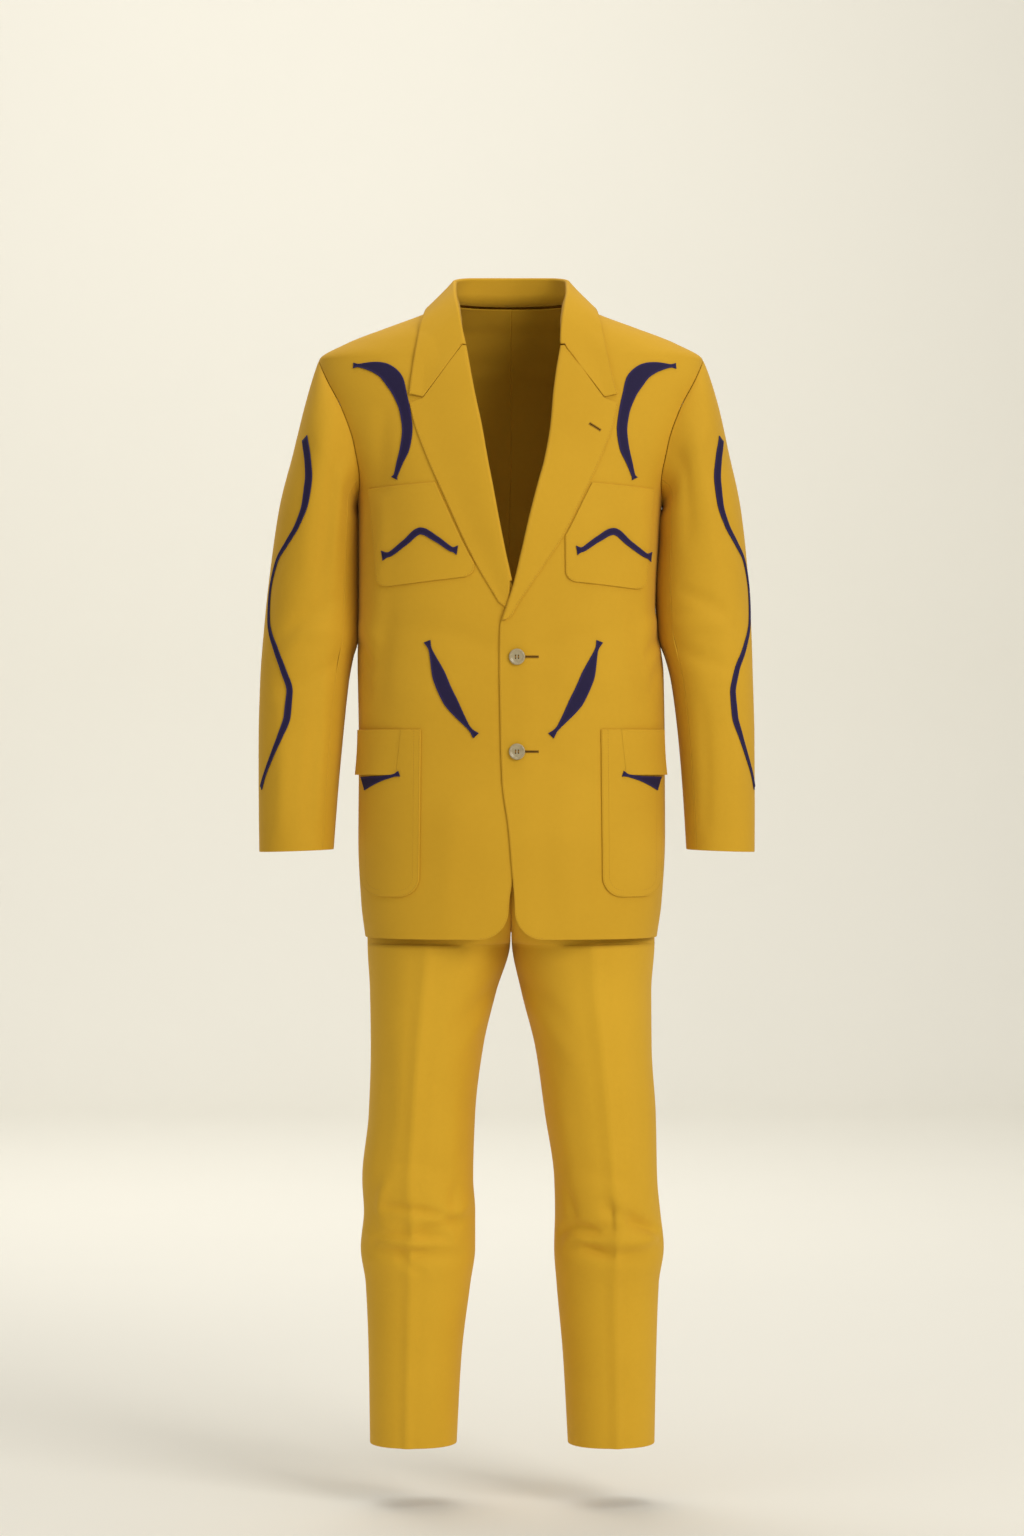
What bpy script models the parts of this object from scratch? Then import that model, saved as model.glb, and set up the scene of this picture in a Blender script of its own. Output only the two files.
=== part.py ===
"""A western suit in its hollow worn pose: jacket and trousers as walls of cloth.

The origin is the centre of the neck at its base. The suit faces -Y, its left side is at +X and +Z is up.
All lengths are in metres.

Each panel is a patch of a surface that is worked out from sections: a row of a table for each height.
A patch is given its cloth's thickness along the surface's normals. What lies on a panel, such as a
pocket, flap or applique, is a patch of the same surface, moved out.
"""

import math

import bmesh
import bpy
from mathutils import Vector

# Cloth and seams
CLOTH = 0.0018
TRIM = 0.0012
GAP = 0.0003
HALF_GAP = GAP / 2
STEP = 0.0004
ANGLE_STEP = 0.5
STATION_STEP = 0.004
FRONT_STEP = 0.0015
BISECTIONS = 24
SHARP_ANGLE = 40.0
SAG = 0.0008
ON_PANEL = SAG + CLOTH
ON_PATCH = ON_PANEL + SAG

# Jacket: heights
HEM_Z = -0.782
ARMPIT_Z = -0.250
SHOULDER_Z = -0.0748
NECK_Z = -0.005
BREAK_Z = -0.362

# Jacket: sections from the hem to the neck. shift moves a section sideways, as the coat hangs.
# square is the power of the section's curve: 2 is an ellipse, more is squarer.
BODY_COLUMNS = ("z", "half_width", "front", "back", "square", "shift")
BODY_ROWS = (
    (-0.782, 0.1790, 0.133, 0.131, 2.70, 0.0000),
    (-0.740, 0.1845, 0.132, 0.129, 2.60, 0.0004),
    (-0.660, 0.1885, 0.131, 0.124, 2.50, 0.0008),
    (-0.560, 0.1880, 0.129, 0.114, 2.50, 0.0010),
    (-0.460, 0.1880, 0.128, 0.105, 2.50, -0.0005),
    (-0.380, 0.1825, 0.130, 0.105, 2.50, -0.0050),
    (-0.300, 0.1845, 0.131, 0.112, 2.50, -0.0030),
    (-0.240, 0.1880, 0.126, 0.119, 2.45, -0.0010),
    (-0.185, 0.2120, 0.118, 0.120, 2.40, 0.0000),
    (-0.140, 0.2300, 0.109, 0.117, 2.35, 0.0000),
    (-0.100, 0.2380, 0.098, 0.110, 2.30, 0.0000),
    (-0.0748, 0.2360, 0.088, 0.102, 2.25, 0.0000),
    (-0.055, 0.2040, 0.081, 0.094, 2.20, 0.0000),
    (-0.034, 0.1500, 0.073, 0.085, 2.15, 0.0000),
    (-0.020, 0.1120, 0.068, 0.075, 2.10, 0.0000),
    (-0.005, 0.0790, 0.064, 0.064, 2.00, 0.0000),
)

# Armhole: how far it opens towards front and back, as a part of the section's depth
ARMHOLE_OPEN = 0.56

# Front edges: where each front ends towards the middle, as X, from the hem to the neck. The left front
# laps over the right one. Above the V of the opening the edge is the roll line of lapel and collar.
EDGE_COLUMNS = ("z", "left", "right")
EDGE_ROWS = (
    (-0.782, 0.0050, -0.0040),
    (-0.740, 0.0042, -0.0024),
    (-0.700, 0.0012, 0.0035),
    (-0.650, -0.0030, 0.0080),
    (-0.590, -0.0108, 0.0100),
    (-0.520, -0.0130, 0.0100),
    (-0.440, -0.0140, 0.0100),
    (-0.4075, -0.0135, 0.0090),
    (-0.380, -0.0055, 0.0060),
    (-0.354, 0.0028, 0.0020),
    (-0.312, 0.0129, -0.0070),
    (-0.274, 0.0216, -0.0145),
    (-0.236, 0.0313, -0.0215),
    (-0.204, 0.0400, -0.0277),
    (-0.165, 0.0470, -0.0345),
    (-0.117, 0.0515, -0.0445),
    (-0.057, 0.0610, -0.0555),
    (-0.005, 0.0725, -0.0680),
)
CORNER_RADIUS = 0.034
LAP_RISE = CLOTH + 0.0008
LAP_RAMP = (0.013, 0.050)
ROLL_INSET = 0.0065
ROLL_INSET_FADE = 0.03
# Rows of a panel: round the hem's corner, up the side, past the armhole and over the shoulder
FRONT_ROW_STEPS = (4, 8, 12, 4)
BACK_ROW_STEPS = (1, 8, 12, 4)
FRONT_COLUMNS = 11
BACK_COLUMNS = 7

# Lapels: the outer edge of each as X, with the height of the row's ends at the roll and at the edge,
# how far the roll stands off the chest, and how far it curls behind it
LAPEL_COLUMNS = ("roll_z", "edge_z", "edge_x", "stand_off", "curl")
LAPEL_ROWS = {
    "left": (
        (-0.3980, -0.3985, -0.0010, 0.0036, 0.0),
        (-0.3820, -0.3835, 0.0060, 0.0038, 0.0),
        (-0.3540, -0.3560, 0.0236, 0.0045, 0.2),
        (-0.3200, -0.3268, 0.0433, 0.0055, 0.7),
        (-0.2850, -0.2955, 0.0635, 0.0060, 1.0),
        (-0.2350, -0.2511, 0.0849, 0.0065, 1.0),
        (-0.1750, -0.2054, 0.1064, 0.0065, 1.0),
        (-0.1100, -0.1600, 0.1235, 0.0065, 1.0),
        (-0.0635, -0.1345, 0.1290, 0.0065, 1.0),
    ),
    "right": (
        (-0.3510, -0.3840, -0.0105, 0.0045, 0.2),
        (-0.3350, -0.3650, -0.0215, 0.0050, 0.5),
        (-0.3150, -0.3400, -0.0365, 0.0055, 0.9),
        (-0.2850, -0.3050, -0.0548, 0.0060, 1.0),
        (-0.2350, -0.2500, -0.0795, 0.0065, 1.0),
        (-0.1750, -0.2000, -0.1015, 0.0065, 1.0),
        (-0.1100, -0.1580, -0.1170, 0.0065, 1.0),
        (-0.0635, -0.1345, -0.1225, 0.0065, 1.0),
    ),
}
ROLL_RADIUS = 0.0030
NOTCH_AT = 0.75
NOTCH_DROP = 0.012
NOTCH_POWER = 6
LEAF_SETTLE = 1.2
LAPEL_ROW_STEPS = 11

# Collar: stations from the gorge to the centre back; base is the neck seam and edge the leaf's edge
COLLAR_COLUMNS = (
    "base_x", "base_y", "base_z", "roll_x", "roll_y", "roll_z", "edge_x", "edge_y", "edge_z",
)
COLLAR_ROWS = (
    (0.0560, -0.0760, -0.0610, 0.0560, -0.0870, -0.0610, 0.1255, -0.0975, -0.1240),
    (0.0600, -0.0540, -0.0230, 0.0630, -0.0650, -0.0190, 0.1145, -0.0745, -0.0590),
    (0.0630, -0.0300, -0.0060, 0.0675, -0.0340, 0.0080, 0.1090, -0.0540, -0.0285),
    (0.0715, 0.0040, -0.0040, 0.0680, 0.0040, 0.0240, 0.1010, 0.0040, -0.0090),
    (0.0515, 0.0390, -0.0030, 0.0510, 0.0390, 0.0310, 0.0720, 0.0640, -0.0160),
    (0.0000, 0.0580, -0.0030, 0.0000, 0.0560, 0.0330, 0.0000, 0.0845, -0.0260),
)
GORGE_GAP = 0.0012
GORGE_BLEND = 0.16
COLLAR_CROWDING = 1.3
COLLAR_ROW_STEPS = 10
COLLAR_POINT_RISE = 0.010
STAND_AT_GORGE = 0.004
LEAF_ON_CHEST_Z = -0.025
LEAF_LIFT = 0.0042
ROLL_STEPS = 4
LEAF_STEPS = 6

# Sleeves: stations from the armhole to the cuff. outer and inner are the ends of a station as seen from
# the front, middle is its centre towards front or back, depth is half its size from front to back.
SLEEVE_COLUMNS = (
    "outer_left", "outer_right", "outer_z", "inner_left", "inner_right", "inner_z", "middle", "depth",
)
SLEEVE_ROWS = (
    (0.2400, 0.2385, -0.0790, 0.1912, 0.1900, -0.2520, 0.0000, 0.0740),
    (0.2470, 0.2455, -0.1000, 0.1915, 0.1908, -0.2560, 0.0000, 0.0760),
    (0.2560, 0.2545, -0.1350, 0.1880, 0.1902, -0.2630, 0.0000, 0.0780),
    (0.2680, 0.2680, -0.1900, 0.1845, 0.1891, -0.2760, 0.0000, 0.0780),
    (0.2820, 0.2845, -0.2550, 0.1820, 0.1884, -0.3050, 0.0000, 0.0765),
    (0.2905, 0.2955, -0.3300, 0.1793, 0.1883, -0.3500, -0.0010, 0.0730),
    (0.2950, 0.3030, -0.4000, 0.1812, 0.1887, -0.4050, -0.0040, 0.0690),
    (0.2970, 0.3080, -0.4700, 0.1965, 0.1990, -0.4700, -0.0090, 0.0650),
    (0.2985, 0.3095, -0.5400, 0.2050, 0.2060, -0.5380, -0.0150, 0.0610),
    (0.2985, 0.3090, -0.6100, 0.2105, 0.2120, -0.6070, -0.0220, 0.0570),
    (0.2980, 0.3080, -0.6780, 0.2145, 0.2170, -0.6750, -0.0280, 0.0530),
)
SLEEVE_SQUARE = 2.2
SEAM_FRONT = -45.0
SEAM_BACK = 195.0
CAP_BLEND = 0.22
ARMHOLE_GAP = 0.0010
SLEEVE_TRIM = 0.15
TOP_COLUMNS = 16
UNDER_COLUMNS = 8
SLEEVE_ROW_STEPS = 15

# Trousers: legs from the hem to the crotch, then hips to the waist; outer and inner are X
HEM_LEG_Z = -1.407
CROTCH_Z = -0.790
WAIST_Z = -0.455
BAND_DROP = 0.036
LEG_COLUMNS = (
    "z", "outer_left", "outer_right", "inner_left", "inner_right", "front", "back", "middle",
)
LEG_ROWS = (
    (-1.407, 0.1770, 0.1740, 0.0700, 0.0670, 0.060, 0.062, 0.018),
    (-1.300, 0.1790, 0.1755, 0.0640, 0.0610, 0.063, 0.066, 0.014),
    (-1.210, 0.1820, 0.1790, 0.0560, 0.0500, 0.068, 0.072, 0.008),
    (-1.165, 0.1880, 0.1850, 0.0530, 0.0440, 0.074, 0.080, 0.004),
    (-1.120, 0.1835, 0.1810, 0.0540, 0.0440, 0.076, 0.082, 0.002),
    (-1.080, 0.1798, 0.1830, 0.0530, 0.0465, 0.077, 0.083, 0.000),
    (-1.000, 0.1780, 0.1750, 0.0415, 0.0440, 0.083, 0.088, 0.000),
    (-0.920, 0.1730, 0.1725, 0.0300, 0.0345, 0.092, 0.096, 0.000),
    (-0.850, 0.1725, 0.1735, 0.0125, 0.0180, 0.100, 0.102, 0.002),
    (-0.790, 0.1766, 0.1766, 0.0008, 0.0008, 0.108, 0.108, 0.004),
    (-0.750, 0.1766, 0.1766, 0.0000, 0.0000, 0.112, 0.112, 0.004),
    (-0.680, 0.1740, 0.1740, 0.0000, 0.0000, 0.112, 0.112, 0.003),
    (-0.600, 0.1690, 0.1690, 0.0000, 0.0000, 0.109, 0.101, 0.000),
    (-0.520, 0.1600, 0.1600, 0.0000, 0.0000, 0.105, 0.092, -0.002),
    (-0.455, 0.1540, 0.1540, 0.0000, 0.0000, 0.101, 0.086, -0.002),
)
LEG_SQUARE = 2.15
CROTCH_RISE = 0.105
CREASE_ANGLE = 6.0
CREASE_WIDTH = 9.0
CREASE_RISE = 0.0035
CREASE_FADE = (0.10, 0.15)
LEG_TRIM = 0.13
LEG_COLUMN_STEPS = 8
# Rows of a leg: its lower end, the folds, the thigh, the crotch and the hips
FOLDS_Z = (-1.190, -1.090)
LEG_ROW_STEPS = (3, 9, 6, 5, 3)
BAND_COLUMNS = 32
BAND_ROW_STEPS = 2

# Folds where the trousers break above the ankle: height and angle of the middle, how far the fold
# reaches round the leg, how much it climbs on the way, its half height and its depth (in is negative)
FOLD_COLUMNS = ("z", "angle", "reach", "climb", "width", "depth")
FOLD_ROWS = {
    "right": (
        (-1.137, 10.0, 75.0, -0.012, 0.010, -0.0060),
        (-1.120, -30.0, 50.0, -0.016, 0.010, 0.0050),
        (-1.166, 5.0, 85.0, 0.008, 0.011, -0.0065),
        (-1.150, 30.0, 60.0, 0.010, 0.009, 0.0045),
        (-1.125, 180.0, 70.0, 0.010, 0.012, -0.0060),
        (-1.160, 170.0, 80.0, -0.012, 0.012, -0.0060),
    ),
    "left": (
        (-1.140, -20.0, 65.0, 0.012, 0.010, -0.0060),
        (-1.124, 25.0, 45.0, -0.018, 0.010, -0.0050),
        (-1.164, -10.0, 80.0, -0.010, 0.011, -0.0065),
        (-1.150, 40.0, 50.0, 0.012, 0.009, 0.0045),
        (-1.122, 180.0, 70.0, -0.010, 0.012, -0.0060),
        (-1.158, 190.0, 80.0, 0.012, 0.012, -0.0060),
    ),
}

SLIT_ANGLE = 0.06

# Pockets and flaps: distances from the middle and heights of the corners, and the lower corners' radius
# Their tilt is how much the lower and the upper edge rise towards the middle, per metre across
FLAP_ROWS = (0.25, 0.6, 1.0)
POCKET_ROWS = (0.25, 0.42, 0.6, 0.8, 1.0)
BREAST_FLAP = {
    "left": {
        "top": -0.2365, "bottom": -0.361, "inner_top": 0.0640, "inner_bottom": 0.0655,
        "outer_top": 0.1730, "outer_bottom": 0.1610, "radius": 0.012, "under_lapel": True,
        "rows": POCKET_ROWS, "tilt": (0.100, 0.065),
    },
    "right": {
        "top": -0.2365, "bottom": -0.359, "inner_top": 0.0400, "inner_bottom": 0.0440,
        "outer_top": 0.1730, "outer_bottom": 0.1590, "radius": 0.012, "under_lapel": True,
        "rows": POCKET_ROWS, "tilt": (0.112, 0.062),
    },
}
HIP_POCKET = {
    "top": -0.5290, "bottom": -0.7310, "inner_top": 0.1080, "inner_bottom": 0.1100,
    "outer_top": 0.1835, "outer_bottom": 0.1825, "radius": 0.024, "under_lapel": False,
    "rows": POCKET_ROWS, "tilt": (0.0, 0.0),
}
HIP_FLAP = {
    "top": -0.5290, "bottom": -0.5840, "inner_top": 0.1320, "inner_bottom": 0.1380,
    "outer_top": 0.1835, "outer_bottom": 0.1837, "radius": 0.0, "under_lapel": False,
    "rows": FLAP_ROWS, "tilt": (0.0, 0.0),
}
FLAP_FLARE = 0.0030
LAPEL_CLEARANCE = 0.0020
PATCH_COLUMNS = 7
CORNER_TURNS = (0.0, 30.0, 60.0, 90.0)
FRONT_LIMITS = (-89.0, 89.0)

# Appliques: rows of distance from the middle, height and half width along each strip
CRESCENT_ROWS = (
    (0.1900, -0.0862, 0.0036),
    (0.1840, -0.0866, 0.0022),
    (0.1690, -0.0883, 0.0056),
    (0.1530, -0.0935, 0.0094),
    (0.1405, -0.1055, 0.0112),
    (0.1322, -0.1245, 0.0082),
    (0.1262, -0.1455, 0.0066),
    (0.1236, -0.1670, 0.0064),
    (0.1262, -0.1880, 0.0060),
    (0.1325, -0.2065, 0.0040),
    (0.1375, -0.2215, 0.0026),
    (0.1395, -0.2255, 0.0042),
)
CRESCENT_SHIFT = {"left": 0.0105, "right": 0.0015}
ARROW_SHIFT = {"left": 0.0070, "right": -0.0075}
DART_SHIFT = {"left": 0.0030, "right": -0.0030}
STRIP_STEPS = {"crescent": 18, "arrow": 10, "dart": 8, "inset": 5, "wave": 26}
ARROW_ROWS = (
    (0.1600, -0.3190, 0.0062),
    (0.1530, -0.3180, 0.0030),
    (0.1340, -0.3040, 0.0036),
    (0.1155, -0.2905, 0.0042),
    (0.0970, -0.3000, 0.0036),
    (0.0780, -0.3130, 0.0030),
    (0.0715, -0.3140, 0.0058),
)
DART_ROWS = (
    (0.1040, -0.4230, 0.0042),
    (0.1000, -0.4330, 0.0022),
    (0.0880, -0.4680, 0.0084),
    (0.0770, -0.4930, 0.0086),
    (0.0530, -0.5280, 0.0022),
    (0.0450, -0.5370, 0.0046),
)
INSET_ROWS = (
    (0.1335, -0.5825, 0.0036),
    (0.1405, -0.5848, 0.0018),
    (0.1540, -0.5880, 0.0030),
    (0.1680, -0.5915, 0.0060),
    (0.1780, -0.5945, 0.0086),
)

# Sleeve wave: rows of distance round the sleeve from its middle in front, height and half width
SLEEVE_RADIUS = 0.062
WAVE_LIFT = 0.0008
WAVE_ROWS = (
    (0.0530, -0.1740, 0.0056),
    (0.0360, -0.2000, 0.0056),
    (0.0255, -0.2280, 0.0058),
    (0.0232, -0.2550, 0.0050),
    (0.0300, -0.2800, 0.0040),
    (0.0450, -0.3020, 0.0034),
    (0.0640, -0.3250, 0.0028),
    (0.0740, -0.3600, 0.0026),
    (0.0690, -0.3950, 0.0028),
    (0.0505, -0.4270, 0.0034),
    (0.0318, -0.4550, 0.0040),
    (0.0197, -0.4850, 0.0044),
    (0.0205, -0.5120, 0.0048),
    (0.0300, -0.5380, 0.0042),
    (0.0445, -0.5620, 0.0034),
    (0.0590, -0.5820, 0.0028),
    (0.0724, -0.6000, 0.0038),
)
WAVE_SHIFT = {"left": 0.0050, "right": -0.0050}

# Front buttons: places on the left front, and the profile of a button from its back to its face
BUTTON_X = 0.0072
BUTTON_HEIGHTS = (-0.4420, -0.5560)
BUTTON_SIDES = 16
BUTTON_PROFILE = (
    (0.0070, 0.0000),
    (0.0098, 0.0012),
    (0.0098, 0.0026),
    (0.0082, 0.0034),
    (0.0066, 0.0024),
)

# Colours: linear red, green, blue, and roughness
YELLOW = (0.560, 0.310, 0.022, 0.85)
YELLOW_DEEP = (0.500, 0.270, 0.018, 0.85)
NAVY = (0.020, 0.014, 0.062, 0.80)
PEARL = (0.520, 0.470, 0.360, 0.35)


def clear_scene():
    """Remove every object that the file opened with."""
    for old in list(bpy.data.objects):
        bpy.data.objects.remove(old, do_unlink=True)


def column(columns, rows, name):
    """Return one named column of a table as a list."""
    index = columns.index(name)
    return [row[index] for row in rows]


def smooth_read(positions, values, at):
    """Read a smooth curve through (position, value) pairs without overshooting them."""
    last = len(positions) - 1
    if at <= positions[0]:
        return values[0]
    if at >= positions[last]:
        return values[last]
    slopes = [(values[i + 1] - values[i]) / (positions[i + 1] - positions[i]) for i in range(last)]
    tangents = [slopes[0]]
    for i in range(1, last):
        turns = slopes[i - 1] * slopes[i] <= 0
        mean = 0.0 if turns else 2 * slopes[i - 1] * slopes[i] / (slopes[i - 1] + slopes[i])
        tangents.append(mean)
    tangents.append(slopes[-1])
    low = max(i for i in range(last) if positions[i] <= at)
    span = positions[low + 1] - positions[low]
    t = (at - positions[low]) / span
    rise = t * t * (3 - 2 * t)
    start_pull = t * (1 - t) * (1 - t) * span * tangents[low]
    end_pull = t * t * (1 - t) * span * tangents[low + 1]
    return values[low] + (values[low + 1] - values[low]) * rise + start_pull - end_pull


def read_by_height(columns, rows, name, z):
    """Read a named column of a table at a height."""
    return smooth_read(column(columns, rows, "z"), column(columns, rows, name), z)


def read_by_station(columns, rows, name, place):
    """Read a named column of a table whose rows are evenly spaced stations, place being 0 to 1."""
    count = len(rows) - 1
    positions = [i / count for i in range(count + 1)]
    return smooth_read(positions, column(columns, rows, name), place)


def ease(t):
    """Return a smooth step from 0 to 1."""
    t = min(max(t, 0.0), 1.0)
    return t * t * (3 - 2 * t)


def mix(a, b, t):
    """Return the value that lies t of the way from a to b."""
    return a + (b - a) * t


def spread(start, end, count):
    """Return count + 1 even steps from start to end."""
    return [mix(start, end, i / count) for i in range(count + 1)]


def sign_of(side):
    """Return which way a side lies along X: the wearer's left is at +X."""
    return 1.0 if side == "left" else -1.0


def super_rest(part, square):
    """Return the other coordinate, 0 to 1, of a unit superellipse."""
    inside = max(0.0, 1.0 - abs(part) ** square)
    return inside ** (1.0 / square)


def body_read(name, z):
    """Read the jacket's section table at a height."""
    return read_by_height(BODY_COLUMNS, BODY_ROWS, name, z)


def body_point(side, angle, z):
    """Return a point of the jacket body's outer face.

    The angle is 0 at the middle of the front, 90 at the side and 180 at the middle of the back.
    """
    part = math.sin(math.radians(angle))
    rest = super_rest(part, body_read("square", z))
    depth = -body_read("front", z) * rest if angle < 90 else body_read("back", z) * rest
    across = sign_of(side) * body_read("half_width", z) * part
    point = Vector((across + body_read("shift", z), depth, z))
    if side == "left" and angle < 90:
        point.y -= LAP_RISE * (1 - ease((point.x - LAP_RAMP[0]) / (LAP_RAMP[1] - LAP_RAMP[0])))
    return point


def angle_at(side, x, z):
    """Return the angle on the jacket's front at which a height's section has the given X."""
    part = sign_of(side) * (x - body_read("shift", z)) / body_read("half_width", z)
    return math.degrees(math.asin(min(max(part, -1.0), 1.0)))


def armhole_angle(z):
    """Return the angle at which the armhole cuts the front at a height; 90 where it is closed."""
    middle = (ARMPIT_Z + SHOULDER_Z) / 2
    half = (SHOULDER_Z - ARMPIT_Z) / 2
    reach = (z - middle) / half
    if abs(reach) >= 1:
        return 90.0
    square = body_read("square", z)
    opening = ARMHOLE_OPEN * math.sqrt(1 - reach * reach)
    return math.degrees(math.asin(super_rest(opening, square)))


def edge_x(side, z):
    """Return the X at which a front ends towards the middle, with its rounded corner at the hem."""
    x = read_by_height(EDGE_COLUMNS, EDGE_ROWS, side, z)
    rise = z - HEM_Z
    if rise < CORNER_RADIUS:
        drop = CORNER_RADIUS - rise
        x += sign_of(side) * (CORNER_RADIUS - math.sqrt(max(0.0, CORNER_RADIUS ** 2 - drop ** 2)))
    if z > BREAK_Z:
        x += sign_of(side) * ROLL_INSET * ease((z - BREAK_Z) / ROLL_INSET_FADE)
    return x


def surface_normal(surface, u, v, limits, steps):
    """Return the unit normal of a surface; limits keep the points beside it on its own panel."""
    before = surface(max(u - steps[0], limits[0]), v)
    after = surface(min(u + steps[0], limits[1]), v)
    along_v = surface(u, v + steps[1]) - surface(u, v - steps[1])
    return (after - before).cross(along_v).normalized()


def make_material(name, finish):
    """Return a Principled material from a colour and a roughness."""
    material = bpy.data.materials.new(name)
    material.use_nodes = True
    shader = material.node_tree.nodes["Principled BSDF"]
    shader.inputs["Base Color"].default_value = (*finish[:3], 1.0)
    shader.inputs["Roughness"].default_value = finish[3]
    shader.inputs["Metallic"].default_value = 0.0
    return material


def add_object(name, mesh_data, finish):
    """Turn a bmesh into a named object with its own material."""
    bmesh.ops.recalc_face_normals(mesh_data, faces=mesh_data.faces)
    mesh = bpy.data.meshes.new(name)
    mesh_data.to_mesh(mesh)
    mesh_data.free()
    mesh.materials.append(make_material(name, finish))
    mesh.shade_smooth()
    mesh.set_sharp_from_angle(angle=math.radians(SHARP_ANGLE))
    item = bpy.data.objects.new(name, mesh)
    bpy.context.scene.collection.objects.link(item)
    return item


def closed_wall(name, outer, inner, finish):
    """Build a closed solid between two grids of points."""
    shell = bmesh.new()
    grids = [[[shell.verts.new(p) for p in row] for row in grid] for grid in (outer, inner)]
    rows = len(outer)
    columns = len(outer[0])
    for grid in grids:
        for j in range(rows - 1):
            for i in range(columns - 1):
                shell.faces.new((grid[j][i], grid[j][i + 1], grid[j + 1][i + 1], grid[j + 1][i]))
    top, under = grids
    for j in (0, rows - 1):
        for i in range(columns - 1):
            shell.faces.new((top[j][i], top[j][i + 1], under[j][i + 1], under[j][i]))
    for i in (0, columns - 1):
        for j in range(rows - 1):
            shell.faces.new((top[j][i], top[j + 1][i], under[j + 1][i], under[j][i]))
    return add_object(name, shell, finish)


def panel(name, surface, grid, finish, steps=(ANGLE_STEP, STEP), outward=1.0):
    """Build a wall of cloth over a grid of (u, v) places on a surface, which is its outer face."""
    outer = []
    inner = []
    for row in grid:
        limits = (min(row[0][0], row[-1][0]), max(row[0][0], row[-1][0]))
        outer_row = []
        inner_row = []
        for u, v in row:
            normal = outward * surface_normal(surface, u, v, limits, steps)
            point = surface(u, v)
            outer_row.append(point)
            inner_row.append(point - normal * CLOTH)
        outer.append(outer_row)
        inner.append(inner_row)
    return closed_wall(name, outer, inner, finish)


def seam_angle(z, depth_name):
    """Return how far from 90 degrees a panel ends to leave half a seam's gap at the side."""
    rest = HALF_GAP / body_read(depth_name, z)
    return 90.0 - math.degrees(math.asin(super_rest(rest, body_read("square", z))))


def panel_heights(corner_steps, side_steps, armhole_steps, shoulder_steps):
    """Return the heights of the rows of a jacket panel, closer where its outline turns."""
    turns = [math.radians(a) for a in spread(0.0, 90.0, corner_steps)]
    heights = [HEM_Z + CORNER_RADIUS * (1 - math.cos(turn)) for turn in turns]
    heights += spread(HEM_Z + CORNER_RADIUS, ARMPIT_Z, side_steps)[1:]
    middle = (ARMPIT_Z + SHOULDER_Z) / 2
    half = (SHOULDER_Z - ARMPIT_Z) / 2
    heights += [middle + half * math.sin(math.radians(a)) for a in spread(-90.0, 90.0, armhole_steps)][1:]
    heights += spread(SHOULDER_Z, NECK_Z, shoulder_steps)[1:]
    return heights


def make_front(side):
    """Build a front: from its edge or roll line to the side seam, armhole and shoulder seam."""
    grid = []
    for z in panel_heights(*FRONT_ROW_STEPS):
        start = angle_at(side, edge_x(side, z), z)
        end = min(armhole_angle(z), 90.0 - seam_angle(z, "front"))
        grid.append([(angle, z) for angle in spread(start, end, FRONT_COLUMNS)])
    surface = lambda angle, z: body_point(side, angle, z)
    panel("jacket_front_" + side, surface, grid, YELLOW, outward=sign_of(side))


def make_back(side):
    """Build half of the back, from the side seam to the centre back seam."""
    grid = []
    for z in panel_heights(*BACK_ROW_STEPS):
        start = max(180.0 - armhole_angle(z), 90.0 + seam_angle(z, "back"))
        end = 180.0 - math.degrees(HALF_GAP / body_read("half_width", z))
        grid.append([(angle, z) for angle in spread(start, end, BACK_COLUMNS)])
    surface = lambda angle, z: body_point(side, angle, z)
    panel("jacket_back_" + side, surface, grid, YELLOW, outward=sign_of(side))


def armhole_point(side, angle):
    """Return the armhole's edge; the angle is 90 at the shoulder, 0 in front and -90 at the armpit."""
    middle = (ARMPIT_Z + SHOULDER_Z) / 2
    half = (SHOULDER_Z - ARMPIT_Z) / 2
    z = middle + half * math.sin(math.radians(angle))
    cut = armhole_angle(z)
    if math.cos(math.radians(angle)) < 0:
        cut = 180.0 - cut
    point = body_point(side, cut, z)
    point.x += sign_of(side) * ARMHOLE_GAP
    return point


def signed_power(value, power):
    """Raise a value to a power and keep its sign."""
    return math.copysign(abs(value) ** power, value)


def sleeve_point(side, angle, place):
    """Return a point of a sleeve's outer face; place runs from 0 at the armhole to 1 at the cuff."""
    read = lambda name: read_by_station(SLEEVE_COLUMNS, SLEEVE_ROWS, name, place)
    sign = sign_of(side)
    outer = Vector((sign * read("outer_" + side), read("middle"), read("outer_z")))
    inner = Vector((sign * read("inner_" + side), read("middle"), read("inner_z")))
    power = 2 / SLEEVE_SQUARE
    across = signed_power(math.sin(math.radians(angle)), power)
    along = signed_power(math.cos(math.radians(angle)), power)
    point = (outer + inner) / 2 + (outer - inner) / 2 * across
    point.y -= read("depth") * along
    if place < CAP_BLEND:
        point = point.lerp(armhole_point(side, angle), ease(1 - place / CAP_BLEND))
    return point


def make_sleeve(side):
    """Build the top and the under sleeve, which meet at a front and a back seam."""
    spans = {
        "sleeve_top_": (SEAM_FRONT + SLEEVE_TRIM, SEAM_BACK - SLEEVE_TRIM, TOP_COLUMNS),
        "sleeve_under_": (SEAM_BACK + SLEEVE_TRIM, SEAM_FRONT + 360.0 - SLEEVE_TRIM, UNDER_COLUMNS),
    }
    surface = lambda angle, place: sleeve_point(side, angle, place)
    for name, (start, end, count) in spans.items():
        angles = spread(start, end, count)
        grid = [[(angle, place) for angle in angles] for place in spread(0.0, 1.0, SLEEVE_ROW_STEPS)]
        panel(name + side, surface, grid, YELLOW, (ANGLE_STEP, STATION_STEP), -sign_of(side))


def front_point(side, x, z):
    """Return the point of a front's outer face that lies at an X and a height."""
    return body_point(side, angle_at(side, x, z), z)


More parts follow.
